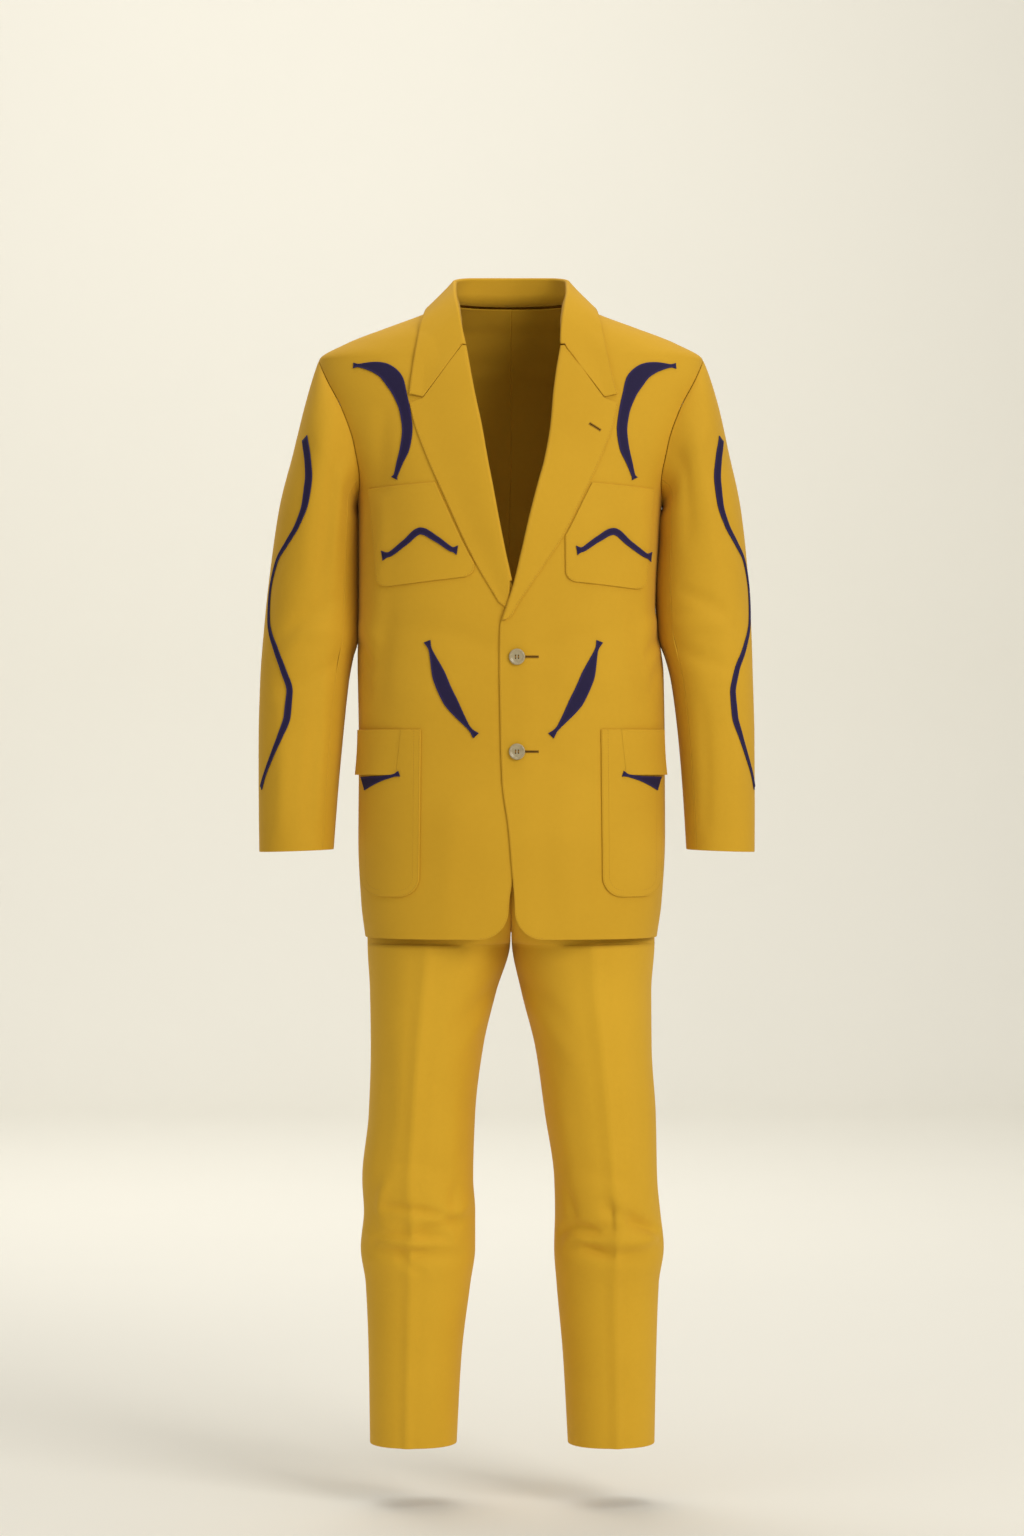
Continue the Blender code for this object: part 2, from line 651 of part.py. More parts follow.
def front_normal(side, x, z):
    """Return the outward normal of a front at an X and a height."""
    surface = lambda u, v: front_point(side, u, v)
    return surface_normal(surface, x, z, (-1.0, 1.0), (FRONT_STEP, FRONT_STEP))


def wall_from_points(name, points, finish):
    """Build a wall from a grid of points of its outer face, thickened towards its inner side."""
    rows = len(points)
    columns = len(points[0])
    inner = []
    for j in range(rows):
        row = []
        for i in range(columns):
            along = points[j][min(i + 1, columns - 1)] - points[j][max(i - 1, 0)]
            up = points[min(j + 1, rows - 1)][i] - points[max(j - 1, 0)][i]
            row.append(points[j][i] - along.cross(up).normalized() * CLOTH)
        inner.append(row)
    return closed_wall(name, points, inner, finish)


def lapel_row(side, place):
    """Return a row of a lapel's outer face, from behind the roll to the edge; place 1 is the gorge."""
    read = lambda name: read_by_station(LAPEL_COLUMNS, LAPEL_ROWS[side], name, place)
    sign = sign_of(side)
    roll_z = read("roll_z")
    stand_off = read("stand_off")
    chest = front_point(side, read_by_height(EDGE_COLUMNS, EDGE_ROWS, side, roll_z), roll_z)
    row = []
    for angle in spread(-90.0 * read("curl"), 90.0, ROLL_STEPS):
        turn = math.radians(angle)
        ahead = ROLL_RADIUS * math.sin(turn) + stand_off - ROLL_RADIUS
        row.append(chest + Vector((sign * ROLL_RADIUS * (1 - math.cos(turn)), -ahead, 0.0)))
    start_x = row[-1].x
    for t in spread(0.0, 1.0, LEAF_STEPS)[1:]:
        x = mix(start_x, read("edge_x"), t)
        reach = t / NOTCH_AT if t < NOTCH_AT else (1 - t) / (1 - NOTCH_AT)
        z = mix(roll_z, read("edge_z"), t) - NOTCH_DROP * reach * place ** NOTCH_POWER
        lift = mix(stand_off, GAP + CLOTH, ease(t * LEAF_SETTLE))
        row.append(front_point(side, x, z) + front_normal(side, x, z) * lift)
    return row


def make_lapel(side):
    """Build a lapel: the turned-back part of a front, rolled at the opening and flat on the chest."""
    places = spread(0.0, 1.0, LAPEL_ROW_STEPS)
    if side == "right":
        places.reverse()
    wall_from_points("lapel_" + side, [lapel_row(side, place) for place in places], YELLOW)


def collar_row(side, place):
    """Return a row of the collar's outer face, from the neck seam over the roll to the leaf's edge.

    Depths and heights are read level at the centre back, so that both halves meet without a peak.
    """
    count = len(COLLAR_ROWS)
    mirrored = COLLAR_ROWS + (COLLAR_ROWS[-2],)
    read = lambda name: read_by_station(COLLAR_COLUMNS, COLLAR_ROWS, name, place)
    level = lambda name: read_by_station(COLLAR_COLUMNS, mirrored, name, place * (count - 1) / count)
    sign = sign_of(side)
    base, roll, edge = (
        Vector((sign * read(part + "_x"), level(part + "_y"), level(part + "_z")))
        for part in ("base", "roll", "edge")
    )
    tip = (roll - (base + edge) / 2).normalized()
    over = ((edge - base) - tip * (edge - base).dot(tip)).normalized()
    centre = roll - tip * ROLL_RADIUS
    arc = []
    for angle in spread(-90.0, 90.0, ROLL_STEPS):
        turn = math.radians(angle)
        arc.append(centre + (tip * math.cos(turn) + over * math.sin(turn)) * ROLL_RADIUS)
    leaf = [clear_of_chest(side, arc[-1].lerp(edge, t)) for t in spread(0.0, 1.0, LEAF_STEPS)[1:]]
    row = [base, base.lerp(arc[0], 0.5)] + arc + leaf
    if place < GORGE_BLEND:
        blend = ease(1 - place / GORGE_BLEND)
        row = [a.lerp(b, blend) for a, b in zip(row, gorge_row(side))]
    return row


def clear_of_chest(side, point):
    """Return a point of the collar's leaf, moved forward where it would sink into the chest."""
    if point.y < 0 and point.z < LEAF_ON_CHEST_Z:
        chest = front_point(side, point.x, point.z)
        point.y = min(point.y, chest.y - LEAF_LIFT)
    return point


def gorge_row(side):
    """Return the collar's front end: the lapel's top row moved up by the gap, then out to the point."""
    top = lapel_row(side, 1.0)
    row = [p + Vector((0.0, 0.0, GORGE_GAP)) for p in top]
    for k in range(LEAF_STEPS):
        t = (k + 1) / LEAF_STEPS
        if t > NOTCH_AT:
            open_part = (t - NOTCH_AT) / (1 - NOTCH_AT)
            row[ROLL_STEPS + 1 + k] += Vector((0.0, 0.0, COLLAR_POINT_RISE * open_part))
    back = row[0] + Vector((0.0, STAND_AT_GORGE, 0.0))
    return [back, back.lerp(row[0], 0.5)] + row


def make_collar():
    """Build the folded collar from the left gorge round the back of the neck to the right gorge."""
    places = [place ** COLLAR_CROWDING for place in spread(0.0, 1.0, COLLAR_ROW_STEPS)]
    rows = [collar_row("left", place) for place in places]
    rows += [collar_row("right", place) for place in places[-2::-1]]
    wall_from_points("collar", rows, YELLOW)


def leg_read(name, z):
    """Read the trousers' section table at a height."""
    return read_by_height(LEG_COLUMNS, LEG_ROWS, name, z)


def wrap(angle):
    """Return an angle between -180 and 180 degrees."""
    return (angle + 180.0) % 360.0 - 180.0


def fold_depth(side, angle, z):
    """Return how far the folds above the ankle move the cloth out at a place of a leg."""
    total = 0.0
    for row in FOLD_ROWS[side]:
        fold = dict(zip(FOLD_COLUMNS, row))
        along = wrap(angle - fold["angle"]) / fold["reach"]
        if abs(along) < 1:
            height = (z - fold["z"] - fold["climb"] * along) / fold["width"]
            total += fold["depth"] * (1 - along * along) ** 2 * math.exp(-height * height)
    return total


def crease_height(angle, z):
    """Return how far the pressed creases stand out at a place of a leg."""
    rise = 0.0
    for middle in (CREASE_ANGLE, 180.0 - CREASE_ANGLE):
        rise += CREASE_RISE * max(0.0, 1 - abs(wrap(angle - middle)) / CREASE_WIDTH)
    return rise * ease((WAIST_Z - CREASE_FADE[0] - z) / CREASE_FADE[1])


def leg_point(side, angle, z):
    """Return a point of the trousers' outer face.

    The angle is -90 at the inside seam, 0 in front, 90 at the outer seam and 180 behind. Above the
    crotch the inside seam becomes the seam in the middle of the front or the back.
    """
    outer = leg_read("outer_" + side, z)
    inner = leg_read("inner_" + side, z)
    middle = leg_read("middle", z)
    power = 2 / LEG_SQUARE
    across = signed_power(math.sin(math.radians(angle)), power)
    along = signed_power(math.cos(math.radians(angle)), power)
    x = (outer + inner) / 2 + (outer - inner) / 2 * across
    rise = min(max((z - CROTCH_Z) / CROTCH_RISE, 0.0), 1.0)
    hips = math.sqrt(1 - (1 - rise) ** 2)
    hip_depth = super_rest(max(x, 0.0) / outer, LEG_SQUARE)
    depth = mix(abs(along), hip_depth, hips)
    out = crease_height(angle, z) + fold_depth(side, angle, z)
    size = leg_read("front", z) if along > 0 else leg_read("back", z)
    radial = Vector((across, -along, 0.0)).normalized()
    y = middle - math.copysign(size * depth, along)
    point = Vector((max(x, HALF_GAP), y, z)) + radial * out
    return Vector((sign_of(side) * point.x, point.y, point.z))


def leg_heights():
    """Return the heights of the rows of a leg, closer at the folds and at the crotch."""
    low, folds, thigh, crotch, hips = LEG_ROW_STEPS
    heights = spread(HEM_LEG_Z, FOLDS_Z[0], low)
    heights += spread(*FOLDS_Z, folds)[1:]
    heights += spread(FOLDS_Z[1], CROTCH_Z, thigh)[1:]
    turns = [math.radians(angle) for angle in spread(0.0, 90.0, crotch)[1:]]
    heights += [CROTCH_Z + CROTCH_RISE * (1 - math.cos(turn)) for turn in turns]
    heights += spread(CROTCH_Z + CROTCH_RISE, WAIST_Z - BAND_DROP - GAP, hips)[1:]
    return heights


def make_leg(side):
    """Build the front and the back panel of a trouser leg."""
    spans = {
        "trouser_front_": (-90.0 + LEG_TRIM, 90.0 - LEG_TRIM),
        "trouser_back_": (90.0 + LEG_TRIM, 270.0 - LEG_TRIM),
    }
    surface = lambda angle, z: leg_point(side, angle, z)
    for name, span in spans.items():
        grid = [[(angle, z) for angle in spread(*span, LEG_COLUMN_STEPS)] for z in leg_heights()]
        panel(name + side, surface, grid, YELLOW_DEEP, outward=sign_of(side))


def make_waistband():
    """Build the waistband, which goes round the waist and closes at the middle of the front."""
    def surface(turn, z):
        side, reach = ("left", turn) if turn <= 180.0 else ("right", 360.0 - turn)
        return leg_point(side, 2 * reach - 90.0, z)

    turns = spread(SLIT_ANGLE, 360.0 - SLIT_ANGLE, BAND_COLUMNS)
    heights = spread(WAIST_Z - BAND_DROP, WAIST_Z, BAND_ROW_STEPS)
    grid = [[(turn, z) for turn in turns] for z in heights]
    panel("trouser_waistband", surface, grid, YELLOW_DEEP)


def rounded_ends(fraction, start, end, radius, height):
    """Return the ends of a patch's row, drawn in where its lower corners are rounded.

    fraction is the row's part of the patch's height above its lower edge.
    """
    rise = fraction * height
    if rise >= radius:
        return start, end
    drawn_in = radius - math.sqrt(max(0.0, radius ** 2 - (radius - rise) ** 2))
    step = math.copysign(drawn_in, end - start)
    return start + step, end - step


def make_patch(name, side, shape, finish, lift, flare=0.0):
    """Build a pocket or flap: a patch on a front, between edges that may slant.

    flare moves its lower edge further out, as the lower edge of a flap stands off.
    """
    sign = sign_of(side)
    height = shape["top"] - shape["bottom"]
    turn = shape["radius"] / height
    fractions = [0.0]
    if turn:
        fractions = [turn * (1 - math.cos(math.radians(angle))) for angle in CORNER_TURNS]
    fractions += [fraction for fraction in shape["rows"] if fraction > fractions[-1]]
    surface = lambda angle, z: body_point(side, angle, z)
    outer = []
    inner = []
    for fraction in fractions:
        z = mix(shape["bottom"], shape["top"], fraction)
        start = mix(shape["inner_bottom"], shape["inner_top"], fraction)
        end = mix(shape["outer_bottom"], shape["outer_top"], fraction)
        start, end = rounded_ends(fraction, start, end, shape["radius"], height)
        tilt = mix(shape["tilt"][0], shape["tilt"][1], fraction)
        tilted = lambda across: z + tilt * (shape["outer_top"] - across)
        if shape["under_lapel"]:
            for _ in range(3):
                start = max(start, lapel_edge_x(side, tilted(start)) + LAPEL_CLEARANCE)
        first = angle_at(side, sign * start, tilted(start))
        last = angle_at(side, sign * end, tilted(end))
        outer_row = []
        inner_row = []
        for angle in spread(first, last, PATCH_COLUMNS):
            at = tilted(abs(body_point(side, angle, z).x))
            normal = sign * surface_normal(surface, angle, at, FRONT_LIMITS, (ANGLE_STEP, STEP))
            point = body_point(side, angle, at) + normal * flare * (1 - fraction) ** 2
            outer_row.append(point + normal * lift)
            inner_row.append(point + normal * (lift - CLOTH))
        outer.append(outer_row)
        inner.append(inner_row)
    closed_wall(name + "_" + side, outer, inner, finish)


def lapel_edge_x(side, z):
    """Return how far from the middle a lapel's outer edge lies at a height."""
    rows = LAPEL_ROWS[side]
    edges = column(LAPEL_COLUMNS, rows, "edge_z")
    return sign_of(side) * smooth_read(edges, column(LAPEL_COLUMNS, rows, "edge_x"), z)


def strip_path(rows, count):
    """Return places along a strip: centre and half width, read smoothly from its few rows."""
    positions = [i / (len(rows) - 1) for i in range(len(rows))]
    places = []
    for t in spread(0.0, 1.0, count):
        places.append([smooth_read(positions, [row[k] for row in rows], t) for k in range(3)])
    return places


def shifted(rows, shift):
    """Return a strip's rows, moved outwards by a shift."""
    return [(x + shift, z, half_width) for x, z, half_width in rows]


def make_strip(name, side, rows, place_point, place_normal, count, lift):
    """Build an applique strip that follows its path over a panel, with ends and middle of any width."""
    path = strip_path(rows, count)
    outer = []
    inner = []
    for k, (across, along, half_width) in enumerate(path):
        before = path[max(k - 1, 0)]
        after = path[min(k + 1, count)]
        run = Vector((after[0] - before[0], after[1] - before[1], 0.0)).normalized()
        outer_row = []
        inner_row = []
        for offset in (-1.0, 0.0, 1.0):
            a = across - run.y * half_width * offset
            b = along + run.x * half_width * offset
            point = place_point(a, b)
            normal = place_normal(a, b)
            outer_row.append(point + normal * (lift + TRIM))
            inner_row.append(point + normal * lift)
        outer.append(outer_row)
        inner.append(inner_row)
    closed_wall(name + "_" + side, outer, inner, NAVY)


def make_front_strip(name, side, rows, count, lift=SAG):
    """Build an applique strip on a front from rows of distance from the middle, height, half width."""
    sign = sign_of(side)
    point = lambda x, z: front_point(side, sign * x, z)
    normal = lambda x, z: front_normal(side, sign * x, z)
    make_strip(name, side, rows, point, normal, count, lift)


def make_sleeve_wave(side):
    """Build the long wave down the outer face of a sleeve."""
    def point(across, z):
        return sleeve_point(side, *sleeve_place(side, across, z))

    def normal(across, z):
        surface = lambda u, v: sleeve_point(side, u, v)
        angle, place = sleeve_place(side, across, z)
        limits = (SEAM_FRONT, SEAM_BACK)
        return -sign_of(side) * surface_normal(surface, angle, place, limits, (ANGLE_STEP, STATION_STEP))

    rows = shifted(WAVE_ROWS, WAVE_SHIFT[side])
    make_strip("applique_sleeve_wave", side, rows, point, normal, STRIP_STEPS["wave"], WAVE_LIFT)


def sleeve_place(side, angle_part, z):
    """Return the angle and the station at which a sleeve's outer half has a height.

    angle_part is the distance round the sleeve from its middle line in front, in metres.
    """
    angle = math.degrees(angle_part / SLEEVE_RADIUS)
    low, high = 0.0, 1.0
    for _ in range(BISECTIONS):
        middle = (low + high) / 2
        if sleeve_point(side, angle, middle).z > z:
            low = middle
        else:
            high = middle
    return angle, (low + high) / 2


def make_button(name, z):
    """Build a front button: a rimmed disc on the left front, turned from its profile."""
    x = BUTTON_X
    point = front_point("left", x, z)
    normal = front_normal("left", x, z)
    across = Vector((1.0, 0.0, 0.0))
    up = normal.cross(across).normalized()
    across = up.cross(normal)
    disc = bmesh.new()
    rings = []
    for radius, rise in BUTTON_PROFILE:
        ring = []
        for k in range(BUTTON_SIDES):
            turn = 2 * math.pi * k / BUTTON_SIDES
            spoke = (across * math.cos(turn) + up * math.sin(turn)) * radius
            ring.append(disc.verts.new(point + spoke + normal * (GAP + rise)))
        rings.append(ring)
    for low, high in zip(rings, rings[1:]):
        for k in range(BUTTON_SIDES):
            n = (k + 1) % BUTTON_SIDES
            disc.faces.new((low[k], low[n], high[n], high[k]))
    disc.faces.new(rings[0])
    disc.faces.new(rings[-1])
    add_object(name, disc, PEARL)


def make_jacket():
    """Build the jacket's panels, collar, lapels, pockets, buttons and appliques."""
    make_collar()
    for side in ("left", "right"):
        make_front(side)
        make_back(side)
        make_sleeve(side)
        make_lapel(side)
        make_patch("breast_flap", side, BREAST_FLAP[side], YELLOW, ON_PANEL)
        make_patch("hip_pocket", side, HIP_POCKET, YELLOW, ON_PANEL)
        make_patch("hip_flap", side, HIP_FLAP, YELLOW, ON_PATCH + CLOTH, flare=FLAP_FLARE)
        crescent = shifted(CRESCENT_ROWS, CRESCENT_SHIFT[side])
        arrow = shifted(ARROW_ROWS, ARROW_SHIFT[side])
        dart = shifted(DART_ROWS, DART_SHIFT[side])
        make_front_strip("applique_crescent", side, crescent, STRIP_STEPS["crescent"])
        make_front_strip("applique_arrow", side, arrow, STRIP_STEPS["arrow"], ON_PATCH)
        make_front_strip("applique_dart", side, dart, STRIP_STEPS["dart"])
        make_front_strip("applique_pocket_inset", side, INSET_ROWS, STRIP_STEPS["inset"], ON_PATCH)
        make_sleeve_wave(side)
    for name, z in zip(("button_upper", "button_lower"), BUTTON_HEIGHTS):
        make_button(name, z)


def make_trousers():
    """Build the trousers' legs and waistband."""
    for side in ("left", "right"):
        make_leg(side)
    make_waistband()


def main():
    """Clear the file and build the suit."""
    clear_scene()
    make_jacket()
    make_trousers()


main()
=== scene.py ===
"""Looks of a western suit in its hollow worn pose: jacket and trousers, with their cloth, trim and sewing.

Lengths are in metres. The suit faces -Y, its left side is at +X and +Z is up. The origin is the centre
of the neck at its base.
"""

import logging
import math
from collections.abc import Callable, Sequence
from dataclasses import dataclass, field
from enum import Enum

import bmesh
import bpy
import numpy as np
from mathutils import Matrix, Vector


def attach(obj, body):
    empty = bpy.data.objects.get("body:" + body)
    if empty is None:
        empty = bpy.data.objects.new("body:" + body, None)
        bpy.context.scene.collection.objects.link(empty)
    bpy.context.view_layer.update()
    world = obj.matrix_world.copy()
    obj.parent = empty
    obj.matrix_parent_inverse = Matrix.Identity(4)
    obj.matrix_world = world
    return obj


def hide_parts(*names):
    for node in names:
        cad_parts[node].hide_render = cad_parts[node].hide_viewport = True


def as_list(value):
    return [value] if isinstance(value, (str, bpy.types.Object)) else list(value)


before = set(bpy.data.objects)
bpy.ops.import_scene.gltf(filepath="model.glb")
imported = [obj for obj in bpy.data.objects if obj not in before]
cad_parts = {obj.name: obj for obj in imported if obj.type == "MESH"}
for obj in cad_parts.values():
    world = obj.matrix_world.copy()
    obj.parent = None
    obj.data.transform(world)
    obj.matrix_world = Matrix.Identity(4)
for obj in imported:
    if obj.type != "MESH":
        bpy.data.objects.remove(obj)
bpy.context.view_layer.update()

LOG = logging.getLogger("western_suit")
Array = np.ndarray
Surface = Callable[[Array, Array], Array]
Relief = Callable[[Array, Array, Array], Array]

CLOTH = 0.0018
TRIM = 0.0012
EDGE_RADIUS = 0.0008
DRAPE = 1.4
ON_PANEL = 0.0005 + CLOTH
TRIM_GAP = 0.0004
STITCH_INSET = 0.0016
EDGE_STEPS = (0.0, 0.00025, 0.0007, 0.0014, 0.0026, 0.0045)
SEAM_ALLOWANCE = 0.010
NARROW_ALLOWANCE = 0.12
MOST_ALLOWANCE = 1.3
BODY = "root"


class Side(Enum):
    """The wearer's side of the suit; the value is its direction along X."""

    LEFT = 1.0
    RIGHT = -1.0

    @property
    def label(self) -> str:
        """Return the word that piece names end with."""
        return self.name.lower()


class Held(Enum):
    """How a sheet of cloth is held."""

    DRAPED = "draped"
    HUNG = "hung"
    FOLDED = "folded"
    LAID = "laid"


class Slot(Enum):
    """The record's material slots."""

    GABARDINE = "gabardine"
    APPLIQUE = "applique"
    BUTTON = "button"


def ease(t: Array | float) -> Array | float:
    """Return a smooth step from 0 to 1 at t, which is clipped to 0 to 1."""
    t = np.clip(t, 0.0, 1.0)
    return t * t * (3 - 2 * t)


def mix(a: Array | float, b: Array | float, t: Array | float) -> Array | float:
    """Return the value that lies t of the way from a to b."""
    return a + (b - a) * t


def smooth_read(positions: Sequence[float], values: Sequence[float], at: Array | float) -> Array:
    """Read a smooth curve through (position, value) pairs without overshooting them.

    Args:
        positions: Rising positions of the pairs.
        values: Values at the positions.
        at: Where to read.

    Returns:
        The values read, in the shape of at.
    """
    xs = np.asarray(positions, float)
    ys = np.asarray(values, float)
    at = np.clip(np.asarray(at, float), xs[0], xs[-1])
    slopes = np.diff(ys) / np.diff(xs)
    before, after = slopes[:-1], slopes[1:]
    total = np.where(before * after > 0, before + after, 1.0)
    inside = np.where(before * after > 0, 2 * before * after / total, 0.0)
    tangents = np.concatenate(([slopes[0]], inside, [slopes[-1]]))
    low = np.clip(np.searchsorted(xs, at, side="right") - 1, 0, len(xs) - 2)
    span = xs[low + 1] - xs[low]
    t = (at - xs[low]) / span
    rise = t * t * (3 - 2 * t)
    pull = t * (1 - t) ** 2 * span * tangents[low] - t * t * (1 - t) * span * tangents[low + 1]
    return ys[low] + (ys[low + 1] - ys[low]) * rise + pull


def signed_power(value: Array, power: float) -> Array:
    """Return values raised to a power with their signs kept."""
    return np.copysign(np.abs(value) ** power, value)


def super_rest(part: Array | float, square: Array | float) -> Array:
    """Return the other coordinate, 0 to 1, of a unit superellipse."""
    return np.maximum(0.0, 1.0 - np.abs(part) ** square) ** (1.0 / square)


def stack(x: Array, y: Array, z: Array) -> Array:
    """Return points from their three coordinates, which may need spreading to one shape."""
    return np.stack(np.broadcast_arrays(x, y, z), axis=-1).astype(float)


def unit(vectors: Array) -> Array:
    """Return vectors scaled to length 1."""
    return vectors / np.maximum(np.linalg.norm(vectors, axis=-1, keepdims=True), 1e-12)


def super_ring(angle: Array, square: float) -> tuple[Array, Array]:
    """Return a unit superellipse's coordinates at angles in degrees: across for 90, along for 0."""
    turn = np.radians(angle)
    return signed_power(np.sin(turn), 2 / square), signed_power(np.cos(turn), 2 / square)


def turned(angle: Array) -> Array:
    """Return angles in degrees brought between -180 and 180."""
    return (angle + 180.0) % 360.0 - 180.0


def corner_inset(radius: float, height: Array) -> Array:
    """Return how far a rounded corner is drawn in at heights above its lowest point."""
    short = np.clip(radius - height, 0.0, radius)
    return radius - np.sqrt(np.maximum(0.0, radius ** 2 - short ** 2))


def corner_heights(count: int) -> Array:
    """Return parts of a rounded corner's height, evenly spaced round its arc."""
    return 1 - np.cos(np.radians(np.linspace(0.0, 90.0, count)))


def merged(*places: Array) -> Array:
    """Return rows of places as one rising row without repeats."""
    return np.unique(np.round(np.concatenate(places), 6))


def travelled(points: Array, axis: int = 0) -> Array:
    """Return the way to each point of a line or grid from its first one along an axis."""
    steps = np.linalg.norm(np.diff(points, axis=axis), axis=-1)
    return np.insert(np.cumsum(steps, axis=axis), 0, 0.0, axis=axis)


def grid_normals(points: Array) -> Array:
    """Return the unit normals of a grid of points."""
    return unit(np.cross(np.gradient(points, axis=1), np.gradient(points, axis=0)))


def put(name: str, data: bpy.types.ID) -> bpy.types.Object:
    """Put a new object with its data in the scene."""
    item = bpy.data.objects.new(name, data)
    bpy.context.scene.collection.objects.link(item)
    return item


def new_object(name: str, points: Array, faces: Sequence[Sequence[int]],
               smooth: bool = True) -> bpy.types.Object:
    """Make a mesh object in the scene, smooth or flat."""
    mesh = bpy.data.meshes.new(name)
    mesh.from_pydata(np.asarray(points).tolist(), [], faces)
    if smooth:
        mesh.shade_smooth()
    return put(name, mesh)


@dataclass(frozen=True)
class Table:
    """A form's sections as rows with named columns, read smoothly between the rows.

    With no key column the rows are evenly spaced stations from 0 to 1.
    """

    columns: tuple[str, ...]
    rows: tuple[tuple[float, ...], ...]
    key: str = ""

    def values(self, name: str) -> list[float]:
        """Return one named column."""
        return [row[self.columns.index(name)] for row in self.rows]

    def read(self, name: str, at: Array | float) -> Array:
        """Return a named column's smooth values at heights or stations."""
        count = len(self.rows) - 1
        positions = self.values(self.key) if self.key else [i / count for i in range(count + 1)]
        return smooth_read(positions, self.values(name), at)


@dataclass
class TorsoForm:
    """The jacket's body: sections from hem to neck, with its armholes and front edges."""

    hem_z: float = -0.782
    armpit_z: float = -0.250
    shoulder_z: float = -0.0748
    neck_z: float = -0.005
    break_z: float = -0.362
    armhole_open: float = 0.56
    corner_radius: float = 0.034
    lap_rise: float = CLOTH + 0.0008
    lap_ramp: tuple[float, float] = (0.013, 0.050)
    roll_inset: float = 0.0065
    roll_ramp: float = 0.03
    sections: Table = Table(
        ("z", "half_width", "front", "back", "square", "shift"),
        (
            (-0.782, 0.179, 0.133, 0.131, 2.7, 0.0), (-0.74, 0.1845, 0.132, 0.129, 2.6, 0.0004),
            (-0.66, 0.1885, 0.131, 0.124, 2.5, 0.0008), (-0.56, 0.188, 0.129, 0.114, 2.5, 0.001),
            (-0.46, 0.188, 0.128, 0.105, 2.5, -0.0005), (-0.38, 0.1825, 0.13, 0.105, 2.5, -0.005),
            (-0.3, 0.1845, 0.131, 0.112, 2.5, -0.003), (-0.24, 0.188, 0.126, 0.119, 2.45, -0.001),
            (-0.185, 0.212, 0.118, 0.12, 2.4, 0.0), (-0.14, 0.23, 0.109, 0.117, 2.35, 0.0),
            (-0.1, 0.238, 0.098, 0.11, 2.3, 0.0), (-0.0748, 0.236, 0.088, 0.102, 2.25, 0.0),
            (-0.055, 0.204, 0.081, 0.094, 2.2, 0.0), (-0.034, 0.15, 0.073, 0.085, 2.15, 0.0),
            (-0.02, 0.112, 0.068, 0.075, 2.1, 0.0), (-0.005, 0.079, 0.064, 0.064, 2.0, 0.0),
        ),
        "z",
    )
    edges: Table = Table(
        ("z", "left", "right"),
        (
            (-0.782, 0.005, -0.004), (-0.74, 0.0042, -0.0024), (-0.7, 0.0012, 0.0035),
            (-0.65, -0.003, 0.008), (-0.59, -0.0108, 0.01), (-0.52, -0.013, 0.01), (-0.44, -0.014, 0.01),
            (-0.4075, -0.0135, 0.009), (-0.38, -0.0055, 0.006), (-0.354, 0.0028, 0.002),
            (-0.312, 0.0129, -0.007), (-0.274, 0.0216, -0.0145), (-0.236, 0.0313, -0.0215),
            (-0.204, 0.04, -0.0277), (-0.165, 0.047, -0.0345), (-0.117, 0.0515, -0.0445),
            (-0.057, 0.061, -0.0555), (-0.005, 0.0725, -0.068),
        ),
        "z",
    )

    def point(self, side: Side, angle: Array, z: Array) -> Array:
        """Return points of the outer face.

        Args:
            side: The wearer's side.
            angle: 0 in the middle of the front, 90 at the side and 180 behind.
            z: Height.

        Returns:
            The points.
        """
        part = np.sin(np.radians(angle))
        rest = super_rest(part, self.sections.read("square", z))
        ahead = np.asarray(angle) < 90
        depth = np.where(ahead, -self.sections.read("front", z), self.sections.read("back", z)) * rest
        x = side.value * self.sections.read("half_width", z) * part + self.sections.read("shift", z)
        if side is Side.LEFT:
            start, end = self.lap_ramp
            depth = depth - np.where(ahead, self.lap_rise * (1 - ease((x - start) / (end - start))), 0.0)
        return stack(x, depth, np.asarray(z, float))

    def angle_at(self, side: Side, x: Array, z: Array) -> Array:
        """Return the angle on the front at which a height's section has an X."""
        part = side.value * (x - self.sections.read("shift", z)) / self.sections.read("half_width", z)
        return np.degrees(np.arcsin(np.clip(part, -1.0, 1.0)))

    def armhole_angle(self, z: Array) -> Array:
        """Return the angle at which the armhole cuts the front at a height; 90 where it is closed."""
        middle = (self.armpit_z + self.shoulder_z) / 2
        reach = (z - middle) / ((self.shoulder_z - self.armpit_z) / 2)
        opening = self.armhole_open * np.sqrt(np.maximum(0.0, 1 - reach * reach))
        square = self.sections.read("square", z)
        return np.where(np.abs(reach) >= 1, 90.0, np.degrees(np.arcsin(super_rest(opening, square))))

    def edge_x(self, side: Side, z: Array) -> Array:
        """Return the X at which a front ends towards the middle, rounded at the hem."""
        rolled = np.where(z > self.break_z, self.roll_inset * ease((z - self.break_z) / self.roll_ramp), 0.0)
        x = self.edges.read(side.label, z) + side.value * corner_inset(self.corner_radius, z - self.hem_z)
        return x + side.value * rolled

    def front_point(self, side: Side, x: Array, z: Array) -> Array:
        """Return the points of a front at an X and a height."""
        return self.point(side, self.angle_at(side, x, z), z)

    def front_normal(self, side: Side, x: Array, z: Array) -> Array:
        """Return the outward normals of a front at an X and a height."""
        step = 0.0015
        along = self.front_point(side, x + step, z) - self.front_point(side, x - step, z)
        up = self.front_point(side, x, z + step) - self.front_point(side, x, z - step)
        return unit(np.cross(along, up))


